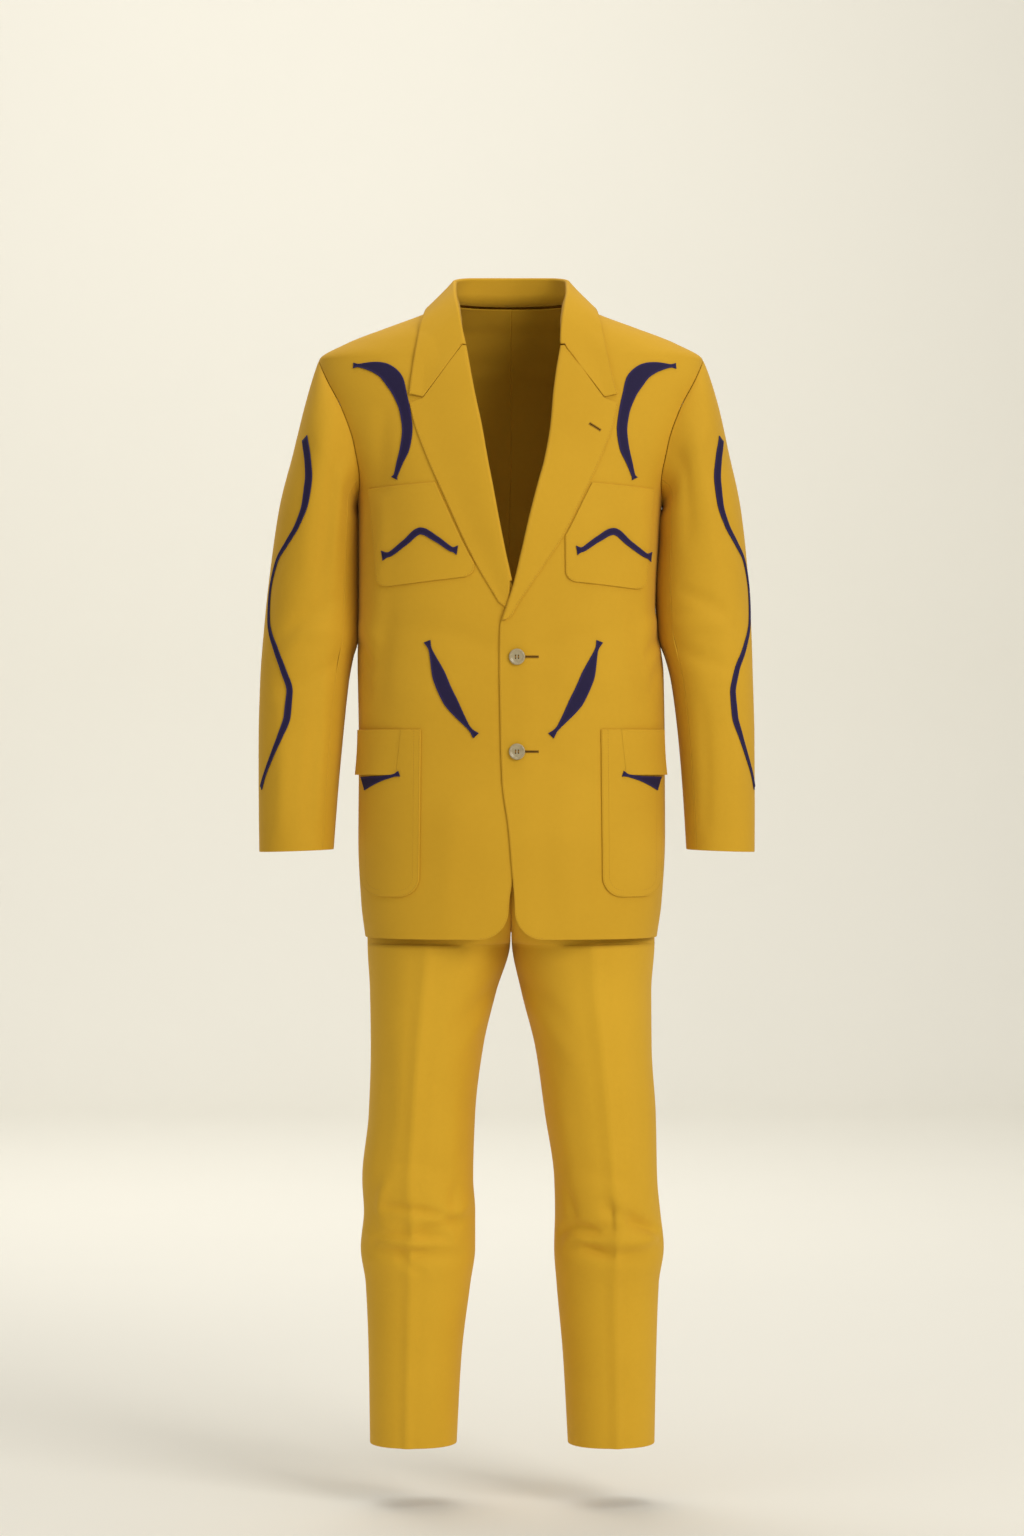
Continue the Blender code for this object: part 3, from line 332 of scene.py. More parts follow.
@dataclass
class SleeveForm:
    """A sleeve: stations from the armhole to the cuff, set into the torso's armhole."""

    torso: TorsoForm
    square: float = 2.2
    seam_front: float = -45.0
    seam_back: float = 195.0
    cap_blend: float = 0.22
    armhole_gap: float = 0.0002
    armhole_tuck: float = 0.0009
    stations: Table = Table(
        ("outer_left", "outer_right", "outer_z", "inner_left", "inner_right", "inner_z", "middle", "depth"),
        (
            (0.24, 0.2385, -0.079, 0.1912, 0.19, -0.252, 0.0, 0.074),
            (0.247, 0.2455, -0.1, 0.1915, 0.1908, -0.256, 0.0, 0.076),
            (0.256, 0.2545, -0.135, 0.188, 0.1902, -0.263, 0.0, 0.078),
            (0.268, 0.268, -0.19, 0.1845, 0.1891, -0.276, 0.0, 0.078),
            (0.282, 0.2845, -0.255, 0.182, 0.1884, -0.305, 0.0, 0.0765),
            (0.2905, 0.2955, -0.33, 0.1793, 0.1883, -0.35, -0.001, 0.073),
            (0.295, 0.303, -0.4, 0.1812, 0.1887, -0.405, -0.004, 0.069),
            (0.297, 0.308, -0.47, 0.1965, 0.199, -0.47, -0.009, 0.065),
            (0.2985, 0.3095, -0.54, 0.205, 0.206, -0.538, -0.015, 0.061),
            (0.2985, 0.309, -0.61, 0.2105, 0.212, -0.607, -0.022, 0.057),
            (0.298, 0.308, -0.678, 0.2145, 0.217, -0.675, -0.028, 0.053),
        ),
    )

    def armhole(self, side: Side, angle: Array) -> Array:
        """Return the armhole's edge; the angle is 90 at the shoulder, 0 in front and -90 at the armpit."""
        middle = (self.torso.armpit_z + self.torso.shoulder_z) / 2
        half = (self.torso.shoulder_z - self.torso.armpit_z) / 2
        z = middle + half * np.sin(np.radians(angle))
        cut = self.torso.armhole_angle(z)
        facing = np.cos(np.radians(angle))
        cut = np.where(facing < 0, 180.0 - cut, cut)
        points = self.torso.point(side, cut, z)
        points[..., 0] += side.value * (self.armhole_gap - self.armhole_tuck * ease(-4 * facing))
        return points

    def point(self, side: Side, angle: Array, place: Array) -> Array:
        """Return points of the outer face.

        Args:
            side: The wearer's side.
            angle: 90 at the outside, 0 in front, -90 at the inside and 180 behind.
            place: 0 at the armhole, 1 at the cuff.

        Returns:
            The points.
        """
        read = lambda name: self.stations.read(name, place)
        label = side.label
        outer_x, inner_x = side.value * read("outer_" + label), side.value * read("inner_" + label)
        across, along = super_ring(angle, self.square)
        x = (outer_x + inner_x) / 2 + (outer_x - inner_x) / 2 * across
        z = (read("outer_z") + read("inner_z")) / 2 + (read("outer_z") - read("inner_z")) / 2 * across
        points = stack(x, read("middle") - read("depth") * along, z)
        blend = ease(1 - np.asarray(place) / self.cap_blend)[..., None]
        return mix(points, self.armhole(side, np.broadcast_to(angle, points.shape[:-1])), blend)

    def place_at(self, side: Side, angle: Array, z: Array) -> Array:
        """Return the station at which the sleeve has a height along a line of one angle."""
        low = np.zeros(np.shape(z))
        high = np.ones(np.shape(z))
        for _ in range(24):
            middle = (low + high) / 2
            below = self.point(side, angle, middle)[..., 2] > z
            low, high = np.where(below, middle, low), np.where(below, high, middle)
        return (low + high) / 2


@dataclass
class LapelForm:
    """A lapel: the turned-back part of a front, rolled at the opening and flat on the chest."""

    torso: TorsoForm
    roll_radius: float = 0.0030
    notch_at: float = 0.75
    notch_drop: float = 0.012
    notch_power: float = 6.0
    leaf_settle: float = 1.2
    rest_height: float = 0.0003 + CLOTH
    end_taper: float = 0.06
    end_width: float = 0.08
    columns: tuple[str, ...] = ("roll_z", "edge_z", "edge_x", "stand_off", "curl")
    left: tuple[tuple[float, ...], ...] = (
        (-0.398, -0.3985, -0.001, 0.0036, 0.0), (-0.382, -0.3835, 0.006, 0.0038, 0.0),
        (-0.354, -0.356, 0.0236, 0.0045, 0.2), (-0.32, -0.3268, 0.0433, 0.0055, 0.7),
        (-0.285, -0.2955, 0.0635, 0.006, 1.0), (-0.235, -0.2511, 0.0849, 0.0065, 1.0),
        (-0.175, -0.2054, 0.1064, 0.0065, 1.0), (-0.11, -0.16, 0.1235, 0.0065, 1.0),
        (-0.0635, -0.1345, 0.129, 0.0065, 1.0),
    )
    right: tuple[tuple[float, ...], ...] = (
        (-0.351, -0.384, -0.0105, 0.0045, 0.2), (-0.335, -0.365, -0.0215, 0.005, 0.5),
        (-0.315, -0.34, -0.0365, 0.0055, 0.9), (-0.285, -0.305, -0.0548, 0.006, 1.0),
        (-0.235, -0.25, -0.0795, 0.0065, 1.0), (-0.175, -0.2, -0.1015, 0.0065, 1.0),
        (-0.11, -0.158, -0.117, 0.0065, 1.0), (-0.0635, -0.1345, -0.1225, 0.0065, 1.0),
    )

    def table(self, side: Side) -> Table:
        """Return the table of a side's lapel."""
        return Table(self.columns, self.left if side is Side.LEFT else self.right)

    def rows(self, side: Side, places: Array, roll: Array, leaf: Array) -> Array:
        """Return points of the outer face, a row for each place.

        Args:
            side: The wearer's side.
            places: 0 at the lower end of the lapel, 1 at the gorge.
            roll: Parts of the way round the roll, 0 behind it to 1 in front.
            leaf: Parts of the way over the leaf, after the roll's end.

        Returns:
            Points by row, and by column from behind the roll to the edge.
        """
        table = self.table(side)
        place = np.asarray(places, float)[:, None]
        roll_z, stand_off = table.read("roll_z", place), table.read("stand_off", place)
        curl = table.read("curl", place)
        chest = self.torso.front_point(side, self.torso.edges.read(side.label, roll_z), roll_z)
        turn = np.radians(mix(-90.0 * curl, 90.0, np.asarray(roll)[None, :]))
        x = chest[..., 0] + side.value * self.roll_radius * (1 - np.cos(turn))
        y = chest[..., 1] - (self.roll_radius * np.sin(turn) + stand_off - self.roll_radius)
        arc = stack(x, y, roll_z)
        t = np.asarray(leaf)[None, :]
        width = mix(self.end_width, 1.0, np.sqrt(np.clip(place / self.end_taper, 0.0, 1.0)))
        leaf_x = mix(x[:, -1:], table.read("edge_x", place), t * width)
        reach = np.where(t < self.notch_at, t / self.notch_at, (1 - t) / (1 - self.notch_at))
        leaf_z = mix(roll_z, table.read("edge_z", place), t)
        leaf_z = leaf_z - self.notch_drop * reach * place ** self.notch_power
        lift = mix(stand_off, self.rest_height, ease(t * self.leaf_settle))
        flat = self.torso.front_point(side, leaf_x, leaf_z)
        flat = flat + self.torso.front_normal(side, leaf_x, leaf_z) * lift[..., None]
        return np.concatenate((arc, flat), axis=1)

    def edge_x(self, side: Side, z: Array) -> Array:
        """Return how far from the middle the outer edge lies at a height."""
        table = self.table(side)
        return side.value * smooth_read(table.values("edge_z"), table.values("edge_x"), z)


@dataclass
class CollarForm:
    """The folded collar: base, roll and leaf from each gorge round the back of the neck."""

    torso: TorsoForm
    lapel: LapelForm
    gorge_gap: float = 0.0012
    gorge_blend: float = 0.16
    point_rise: float = 0.010
    stand_at_gorge: float = 0.004
    leaf_on_chest_z: float = -0.025
    leaf_lift: float = 0.0042
    stations: Table = Table(
        ("base_x", "base_y", "base_z", "roll_x", "roll_y", "roll_z", "edge_x", "edge_y", "edge_z"),
        (
            (0.056, -0.076, -0.061, 0.056, -0.087, -0.061, 0.1255, -0.0975, -0.124),
            (0.06, -0.054, -0.023, 0.063, -0.065, -0.019, 0.1145, -0.0745, -0.059),
            (0.063, -0.03, -0.006, 0.0675, -0.034, 0.008, 0.109, -0.054, -0.0285),
            (0.0715, 0.004, -0.004, 0.068, 0.004, 0.024, 0.101, 0.004, -0.009),
            (0.0515, 0.039, -0.003, 0.051, 0.039, 0.031, 0.072, 0.064, -0.016),
            (0.0, 0.058, -0.003, 0.0, 0.056, 0.033, 0.0, 0.0845, -0.026),
        ),
    )

    def rows(self, side: Side, places: Array, roll: Array, leaf: Array) -> Array:
        """Return points of the outer face, a row for each place.

        Args:
            side: The wearer's side.
            places: 0 at the gorge, 1 at the centre back.
            roll: Parts of the way round the roll.
            leaf: Parts of the way over the leaf.

        Returns:
            Points by row, and by column from the neck seam over the roll to the leaf's edge.
        """
        places = np.asarray(places, float)
        rows = self.stations.rows
        level = Table(self.stations.columns, rows + (rows[-2],))
        level_places = places * (len(rows) - 1) / len(rows)
        base, tip_end, edge = (
            stack(
                side.value * self.stations.read(part + "_x", places),
                level.read(part + "_y", level_places),
                level.read(part + "_z", level_places),
            )
            for part in ("base", "roll", "edge")
        )
        tip = unit(tip_end - (base + edge) / 2)
        span = edge - base
        over = unit(span - tip * np.sum(span * tip, axis=-1, keepdims=True))
        radius = self.lapel.roll_radius
        centre = tip_end - tip * radius
        turn = np.radians(mix(-90.0, 90.0, np.asarray(roll)))[None, :, None]
        arc = centre[:, None] + (tip[:, None] * np.cos(turn) + over[:, None] * np.sin(turn)) * radius
        flat = mix(arc[:, -1:], edge[:, None], np.asarray(leaf)[None, :, None])
        chest = self.torso.front_point(side, flat[..., 0], flat[..., 2])[..., 1] - self.leaf_lift
        on_chest = (flat[..., 1] < 0) & (flat[..., 2] < self.leaf_on_chest_z)
        flat[..., 1] = np.where(on_chest, np.minimum(flat[..., 1], chest), flat[..., 1])
        rows = np.concatenate((base[:, None], mix(base[:, None], arc[:, :1], 0.5), arc, flat), axis=1)
        blend = np.where(places < self.gorge_blend, ease(1 - places / self.gorge_blend), 0.0)
        return mix(rows, self.gorge_row(side, roll, leaf)[None], blend[:, None, None])

    def gorge_row(self, side: Side, roll: Array, leaf: Array) -> Array:
        """Return the collar's front end: the lapel's top row moved up by the gap, then out to the point."""
        row = self.lapel.rows(side, np.array([1.0]), roll, leaf)[0]
        row[:, 2] += self.gorge_gap
        notch_at = self.lapel.notch_at
        open_part = np.clip((np.asarray(leaf) - notch_at) / (1 - notch_at), 0.0, 1.0)
        row[len(roll):, 2] += self.point_rise * open_part
        back = row[0] + np.array([0.0, self.stand_at_gorge, 0.0])
        return np.concatenate((back[None], mix(back, row[0], 0.5)[None], row))


@dataclass
class LegForm:
    """A trouser leg: sections from ankle to waist, one half of the hips above the crotch."""

    hem_z: float = -1.407
    crotch_z: float = -0.790
    waist_z: float = -0.455
    band_drop: float = 0.036
    square: float = 2.15
    crotch_rise: float = 0.105
    crease_angle: float = 6.0
    crease_width: float = 9.0
    crease_rise: float = 0.0035
    crease_top: float = -0.555
    crease_fade: float = 0.15
    sections: Table = Table(
        ("z", "outer_left", "outer_right", "inner_left", "inner_right", "front", "back", "middle"),
        (
            (-1.407, 0.177, 0.174, 0.07, 0.067, 0.06, 0.062, 0.018),
            (-1.3, 0.179, 0.1755, 0.064, 0.061, 0.063, 0.066, 0.014),
            (-1.21, 0.182, 0.179, 0.056, 0.05, 0.068, 0.072, 0.008),
            (-1.165, 0.188, 0.185, 0.053, 0.044, 0.074, 0.08, 0.004),
            (-1.12, 0.1835, 0.181, 0.054, 0.044, 0.076, 0.082, 0.002),
            (-1.08, 0.1798, 0.183, 0.053, 0.0465, 0.077, 0.083, 0.0),
            (-1.0, 0.178, 0.175, 0.0415, 0.044, 0.083, 0.088, 0.0),
            (-0.92, 0.173, 0.1725, 0.03, 0.0345, 0.092, 0.096, 0.0),
            (-0.85, 0.1725, 0.1735, 0.0125, 0.018, 0.1, 0.102, 0.002),
            (-0.79, 0.1766, 0.1766, 0.0008, 0.0008, 0.108, 0.108, 0.004),
            (-0.75, 0.1766, 0.1766, 0.0, 0.0, 0.112, 0.112, 0.004),
            (-0.68, 0.174, 0.174, 0.0, 0.0, 0.112, 0.112, 0.003),
            (-0.6, 0.169, 0.169, 0.0, 0.0, 0.109, 0.101, 0.0),
            (-0.52, 0.16, 0.16, 0.0, 0.0, 0.105, 0.092, -0.002),
            (-0.455, 0.154, 0.154, 0.0, 0.0, 0.101, 0.086, -0.002),
        ),
        "z",
    )
    half_gap: float = 0.00004

    def point(self, side: Side, angle: Array, z: Array) -> Array:
        """Return points of the outer face.

        Args:
            side: The wearer's side.
            angle: -90 at the inside seam, 0 in front, 90 at the outer seam and 180 behind.
            z: Height.

        Returns:
            The points.
        """
        read = lambda name: self.sections.read(name, z)
        outer, inner = read("outer_" + side.label), read("inner_" + side.label)
        across, along = super_ring(angle, self.square)
        x = (outer + inner) / 2 + (outer - inner) / 2 * across
        rise = np.clip((z - self.crotch_z) / self.crotch_rise, 0.0, 1.0)
        hips = np.sqrt(1 - (1 - rise) ** 2)
        depth = mix(np.abs(along), super_rest(np.maximum(x, 0.0) / outer, self.square), hips)
        size = np.where(along > 0, read("front"), read("back"))
        y = read("middle") - np.copysign(size * depth, along)
        x = np.maximum(x, self.half_gap)
        out = self.crease_height(angle, z)
        length = np.maximum(np.hypot(across, along), 1e-9)
        return stack(side.value * (x + out * across / length), y - out * along / length, np.asarray(z, float))

    def crease_height(self, angle: Array, z: Array) -> Array:
        """Return how far the pressed creases stand out at a place of a leg."""
        rise = 0.0
        for middle in (self.crease_angle, 180.0 - self.crease_angle):
            away = np.abs(turned(angle - middle))
            rise = rise + self.crease_rise * np.maximum(0.0, 1 - away / self.crease_width)
        return rise * ease((self.crease_top - z) / self.crease_fade)


@dataclass(frozen=True)
class Fold:
    """A soft ridge (height above 0) or trough (below 0) along a short path over a piece.

    The path is given in the piece's own two coordinates, across it and in height, in metres.
    """

    start: tuple[float, float]
    end: tuple[float, float]
    width: float
    height: float
    bow: float = 0.0

    def rise(self, a: Array, b: Array) -> Array:
        """Return the fold's height at places, fading towards both ends of its path."""
        run = np.array([self.end[0] - self.start[0], self.end[1] - self.start[1]])
        length = float(np.hypot(*run))
        along = ((a - self.start[0]) * run[0] + (b - self.start[1]) * run[1]) / length ** 2
        off = ((b - self.start[1]) * run[0] - (a - self.start[0]) * run[1]) / length
        off = off - self.bow * 4 * along * (1 - along)
        over = np.clip(np.maximum(-along, along - 1) * length / (self.width * 1.6), 0.0, 1.0)
        swell = np.clip(0.45 + 2.2 * along * (1 - along), 0.0, 1.0)
        return self.height * swell * (1 - ease(over)) * np.exp(-(off / self.width) ** 2)


def millimetre_folds(*rows: tuple[float, ...]) -> tuple[Fold, ...]:
    """Return folds from rows in thousandths: start and end of the path, width, height and bow."""
    return tuple(Fold(tuple(row[:2]), tuple(row[2:4]), *row[4:]) for row in np.array(rows) / 1000)


def folds_rise(folds: Sequence[Fold], a: Array, b: Array) -> Array:
    """Return the summed height of folds at places."""
    total = np.zeros(np.broadcast(a, b).shape)
    for fold in folds:
        total = total + DRAPE * fold.rise(a, b)
    return total


@dataclass(frozen=True)
class Skin:
    """A piece's smooth form with its creases: points and outward normals by two parameters."""

    base: Surface
    relief: Relief
    steps: tuple[float, float]
    outward: float = 1.0
    limits: tuple[float, float] = (-1e9, 1e9)

    def normals(self, u: Array, v: Array) -> Array:
        """Return the outward unit normals of the smooth form."""
        low = np.maximum(u - self.steps[0], self.limits[0])
        high = np.minimum(u + self.steps[0], self.limits[1])
        along_u = self.base(high, v) - self.base(low, v)
        along_v = self.base(u, v + self.steps[1]) - self.base(u, v - self.steps[1])
        return self.outward * unit(np.cross(along_u, along_v))

    def points(self, u: Array, v: Array, lift: Array | float = 0.0) -> Array:
        """Return points of the creased face, or at a distance above it."""
        flat = self.base(u, v)
        rise = self.relief(flat, u, v) + lift
        return flat + self.normals(u, v) * np.asarray(rise)[..., None]


def fractions_with_edges(length: float, count: int) -> Array:
    """Return places from 0 to 1 across a length, close together at both edges.

    Args:
        length: Typical length across, in metres.
        count: Number of even steps between the edges.

    Returns:
        The rising fractions.
    """
    edge = np.array(EDGE_STEPS) / length
    middle = np.linspace(edge[-1], 1 - edge[-1], count + 1)[1:-1]
    return np.concatenate((edge, middle, 1 - edge[::-1]))


def fractions_to_edge(length: float, count: int) -> Array:
    """Return places from after 0 to 1 across a length in metres, close together at the far edge."""
    edge = np.array(EDGE_STEPS) / length
    return np.concatenate((np.linspace(0.0, 1 - edge[-1], count)[1:], 1 - edge[-2::-1]))


@dataclass
class Shell:
    """A closed thin wall of cloth between an outer and an inner grid of points, with UVs in metres."""

    name: str
    outer: Array
    inner: Array
    edge_distance: Array

    @staticmethod
    def rounding(distance: Array, radius: Array | float) -> Array:
        """Return how far a face is drawn in near a rounded edge, by its distance from the edge."""
        inside = np.clip(1 - distance / radius, 0.0, 1.0)
        return radius * (1 - np.sqrt(1 - inside ** 2))

    def cloth_uv(self) -> Array:
        """Return a UV in metres for each point: distance along its row and up its column."""
        u, v = travelled(self.outer, 1), travelled(self.outer).mean(axis=1, keepdims=True)
        return np.stack((u - u.mean(axis=1, keepdims=True), np.broadcast_to(v, u.shape)), axis=-1)

    def flat_size(self) -> tuple[float, float, float]:
        """Return the cut's width, length and area in metres, seam allowance included."""
        across = np.linalg.norm(np.diff(self.outer, axis=1), axis=-1).sum(axis=1)
        up = np.linalg.norm(np.diff(self.outer, axis=0), axis=-1).sum(axis=0)
        a = self.outer[1:, 1:] - self.outer[:-1, :-1]
        b = self.outer[1:, :-1] - self.outer[:-1, 1:]
        seen = float(np.linalg.norm(np.cross(a, b), axis=-1).sum() / 2)
        width, length = float(across.max()), float(up.max())
        allowance = min(SEAM_ALLOWANCE, NARROW_ALLOWANCE * width)
        area = seen + allowance * 2 * (float(across.mean()) + float(up.mean()))
        width, length = width + 2 * allowance, length + 2 * allowance
        return width, length, min(area, MOST_ALLOWANCE * seen, width * length)

    def build(self) -> bpy.types.Object:
        """Make the closed mesh object."""
        rows, columns = self.outer.shape[:2]
        count = rows * columns
        index = np.arange(count).reshape(rows, columns)
        corners = (index[:-1, :-1], index[:-1, 1:], index[1:, 1:], index[1:, :-1])
        quads = np.stack(corners, axis=-1).reshape(-1, 4)
        faces = [quads, quads[:, ::-1] + count]
        ring = np.concatenate((index[0, :], index[1:, -1], index[-1, -2::-1], index[-2:0:-1, 0]))
        after = np.roll(ring, -1)
        faces.append(np.stack((ring, ring + count, after + count, after), axis=-1))
        points = np.concatenate((self.outer.reshape(-1, 3), self.inner.reshape(-1, 3)))
        item = new_object(self.name, points, np.concatenate(faces).tolist())
        mesh = item.data
        uv = np.tile(self.cloth_uv().reshape(-1, 2), (2, 1))
        layer = mesh.uv_layers.new(name="cloth")
        loops = np.empty(len(mesh.loops), np.int32)
        mesh.loops.foreach_get("vertex_index", loops)
        layer.data.foreach_set("uv", uv[loops].astype(np.float32).ravel())
        edge = mesh.attributes.new("edge_distance", "FLOAT", "POINT")
        edge.data.foreach_set("value", np.tile(self.edge_distance.ravel(), 2).astype(np.float32))
        mesh.validate()
        solid = bmesh.new()
        solid.from_mesh(mesh)
        bmesh.ops.recalc_face_normals(solid, faces=solid.faces)
        solid.to_mesh(mesh)
        solid.free()
        return item


def grid_distance(points: Array) -> Array:
    """Return each grid point's distance from the nearest edge of its grid, along rows and columns."""
    u, v = travelled(points, 1), travelled(points)
    return np.minimum(np.minimum(u, u[:, -1:] - u), np.minimum(v, v[-1:] - v))


def shell_from_skin(name: str, skin: Skin, u: Array, v: Array, lift: Array | float = 0.0,
                    thickness: Array | float = CLOTH, radius: Array | float = EDGE_RADIUS) -> Shell:
    """Return a wall over a grid of places on a skin, its edges rounded.

    Args:
        name: The piece's name.
        skin: The skin it lies on.
        u: First parameters, by row and column.
        v: Second parameters, by row and column.
        lift: Height of the outer face above the skin.
        thickness: Thickness of the cloth.
        radius: Radius of the rounded edges.

    Returns:
        The shell.
    """
    distance = grid_distance(skin.base(u, v))
    drawn = Shell.rounding(distance, radius)
    outer = skin.points(u, v, lift - drawn)
    inner = skin.points(u, v, lift - thickness + drawn)
    return Shell(name, outer, inner, distance)


def shell_from_points(name: str, points: Array, thickness: float = CLOTH,
                      radius: float = EDGE_RADIUS) -> Shell:
    """Return a wall below a grid of points of its outer face, its edges rounded.

    Args:
        name: The piece's name.
        points: Points by row and column.
        thickness: Thickness of the cloth.
        radius: Radius of the rounded edges.

    Returns:
        The shell.
    """
    normals, distance = grid_normals(points), grid_distance(points)
    drawn = Shell.rounding(distance, radius)[..., None]
    return Shell(name, points - normals * drawn, points - normals * (thickness - drawn), distance)


class NodeWriter:
    """Adds and links the nodes of one tree."""

    def __init__(self, tree: bpy.types.NodeTree) -> None:
        """Take the shader node tree or group to write in."""
        self.tree = tree

    def add(self, kind: str, **settings: object) -> bpy.types.Node:
        """Add a node and set its inputs (by name or number, after "in_") and its other settings.

        Args:
            kind: The node's type.
            **settings: Values; a socket as a value is linked.

        Returns:
            The node.
        """
        return self.feed(self.tree.nodes.new(kind), **settings)

    def feed(self, node: bpy.types.Node, **settings: object) -> bpy.types.Node:
        """Set a node's inputs and settings, named as for add, and return the node."""
        for key, value in settings.items():
            if not key.startswith("in_"):
                setattr(node, key, value)
                continue
            slot = key[3:]
            socket = node.inputs[int(slot) if slot.isdigit() else slot.replace("_", " ")]
            if isinstance(value, bpy.types.NodeSocket):
                self.tree.links.new(value, socket)
            else:
                socket.default_value = value
        return node

    def maths(self, operation: str, *values: object) -> bpy.types.NodeSocket:
        """Return the output of a maths node on up to three values or sockets."""
        settings = {f"in_{i}": value for i, value in enumerate(values)}
        return self.add("ShaderNodeMath", operation=operation, **settings).outputs[0]

    def noise(self, place: bpy.types.NodeSocket, scale: float, detail: float,
              distortion: float = 0.0) -> bpy.types.NodeSocket:
        """Return the value of a noise, 0 to 1, at a place."""
        return self.add("ShaderNodeTexNoise", in_Vector=place, in_Scale=scale, in_Detail=detail,
                        in_Distortion=distortion).outputs[0]

    def blend(self, part: bpy.types.NodeSocket, low: object, high: object) -> bpy.types.NodeSocket:
        """Return a colour blended from low to high, which are colours or sockets."""
        return self.add("ShaderNodeMix", data_type="RGBA", in_0=part, in_6=low, in_7=high).outputs[2]


class MaterialWriter(NodeWriter):
    """Writes a new material, whose shader is a Principled one."""

    def __init__(self, name: str) -> None:
        """Make the material, with its shader and the place on the object as a socket."""
        self.material = bpy.data.materials.new(name)
        self.material.use_nodes = True
        super().__init__(self.material.node_tree)
        self.shader = self.tree.nodes["Principled BSDF"]
        self.place = self.add("ShaderNodeTexCoord").outputs["Object"]


def opaque(colour: Sequence[float], gain: float = 1.0, more: float = 0.0) -> tuple[float, ...]:
    """Return a colour times gain plus more, at most 1, with its alpha."""
    return (*(min(1.0, c * gain + more) for c in colour), 1.0)


def new_group(name: str, inputs: Sequence[tuple[str, str, float | None]],
              outputs: Sequence[str]) -> tuple[NodeWriter, dict, bpy.types.Node]:
    """Make an empty shader node group with its sockets.

    Args:
        name: The group's name.
        inputs: Name, socket type and default value of each input.
        outputs: Name of each output, a value.

    Returns:
        The tree's writer, the input sockets by name and the output node.
    """
    tree = bpy.data.node_groups.new(name, "ShaderNodeTree")
    for label, kind, default in inputs:
        socket = tree.interface.new_socket(label, in_out="INPUT", socket_type=kind)
        if default is not None:
            socket.default_value = default
    for label in outputs:
        tree.interface.new_socket(label, in_out="OUTPUT", socket_type="NodeSocketFloat")
    start, end = tree.nodes.new("NodeGroupInput"), tree.nodes.new("NodeGroupOutput")
    return NodeWriter(tree), {label: start.outputs[label] for label, _, _ in inputs}, end


def twill_group() -> bpy.types.NodeTree:
    """Make the weave: steep twill ribs and uneven threads, as a height and a tint from 0 to 1."""
    write, given, end = new_group(
        "Twill weave",
        (("Place", "NodeSocketVector", None), ("Rib", "NodeSocketFloat", 0.0011),
         ("Slope", "NodeSocketFloat", 0.5)),
        ("Height", "Tint"),
    )
    parts = write.add("ShaderNodeSeparateXYZ", in_0=given["Place"])
    along = write.maths("MULTIPLY_ADD", parts.outputs[1], given["Slope"], parts.outputs[0])
    phase = write.maths("MULTIPLY", write.maths("DIVIDE", along, given["Rib"]), 2 * math.pi)
    rib = write.maths("MULTIPLY_ADD", write.maths("SINE", phase), 0.5, 0.5)
    thread = write.noise(given["Place"], 900.0, 1.0)
    slub = write.noise(given["Place"], 160.0, 2.0)
    height = write.maths("MULTIPLY_ADD", thread, 0.5, write.maths("MULTIPLY", rib, 0.6))
    tint = write.maths("MULTIPLY_ADD", slub, 0.5, write.maths("MULTIPLY", height, 0.5))
    write.feed(end, in_Height=height, in_Tint=tint)
    return write.tree


def wear_group() -> bpy.types.NodeTree:
    """Make the slow unevenness of pressed wool and the mask of its edges, both from 0 to 1; the edge mask also
    places the painted highlight of an applique's corded edge.
    """
    write, given, end = new_group(
        "Pressed wool",
        (("Place", "NodeSocketVector", None), ("Edge distance", "NodeSocketFloat", 1.0),
         ("Edge width", "NodeSocketFloat", 0.003)),
        ("Mottle", "Edge", "Pucker"),
    )
    slow = write.noise(given["Place"], 7.0, 4.0)
    near = write.maths("DIVIDE", given["Edge distance"], given["Edge width"])
    edge = write.maths("SUBTRACT", 1.0, write.maths("MINIMUM", near, 1.0))
    ripple = write.noise(given["Place"], 120.0, 1.0)
    pucker = write.maths("MULTIPLY", ripple, write.maths("POWER", edge, 0.7))
    write.feed(end, in_Mottle=slow, in_Edge=edge, in_Pucker=pucker)
    return write.tree


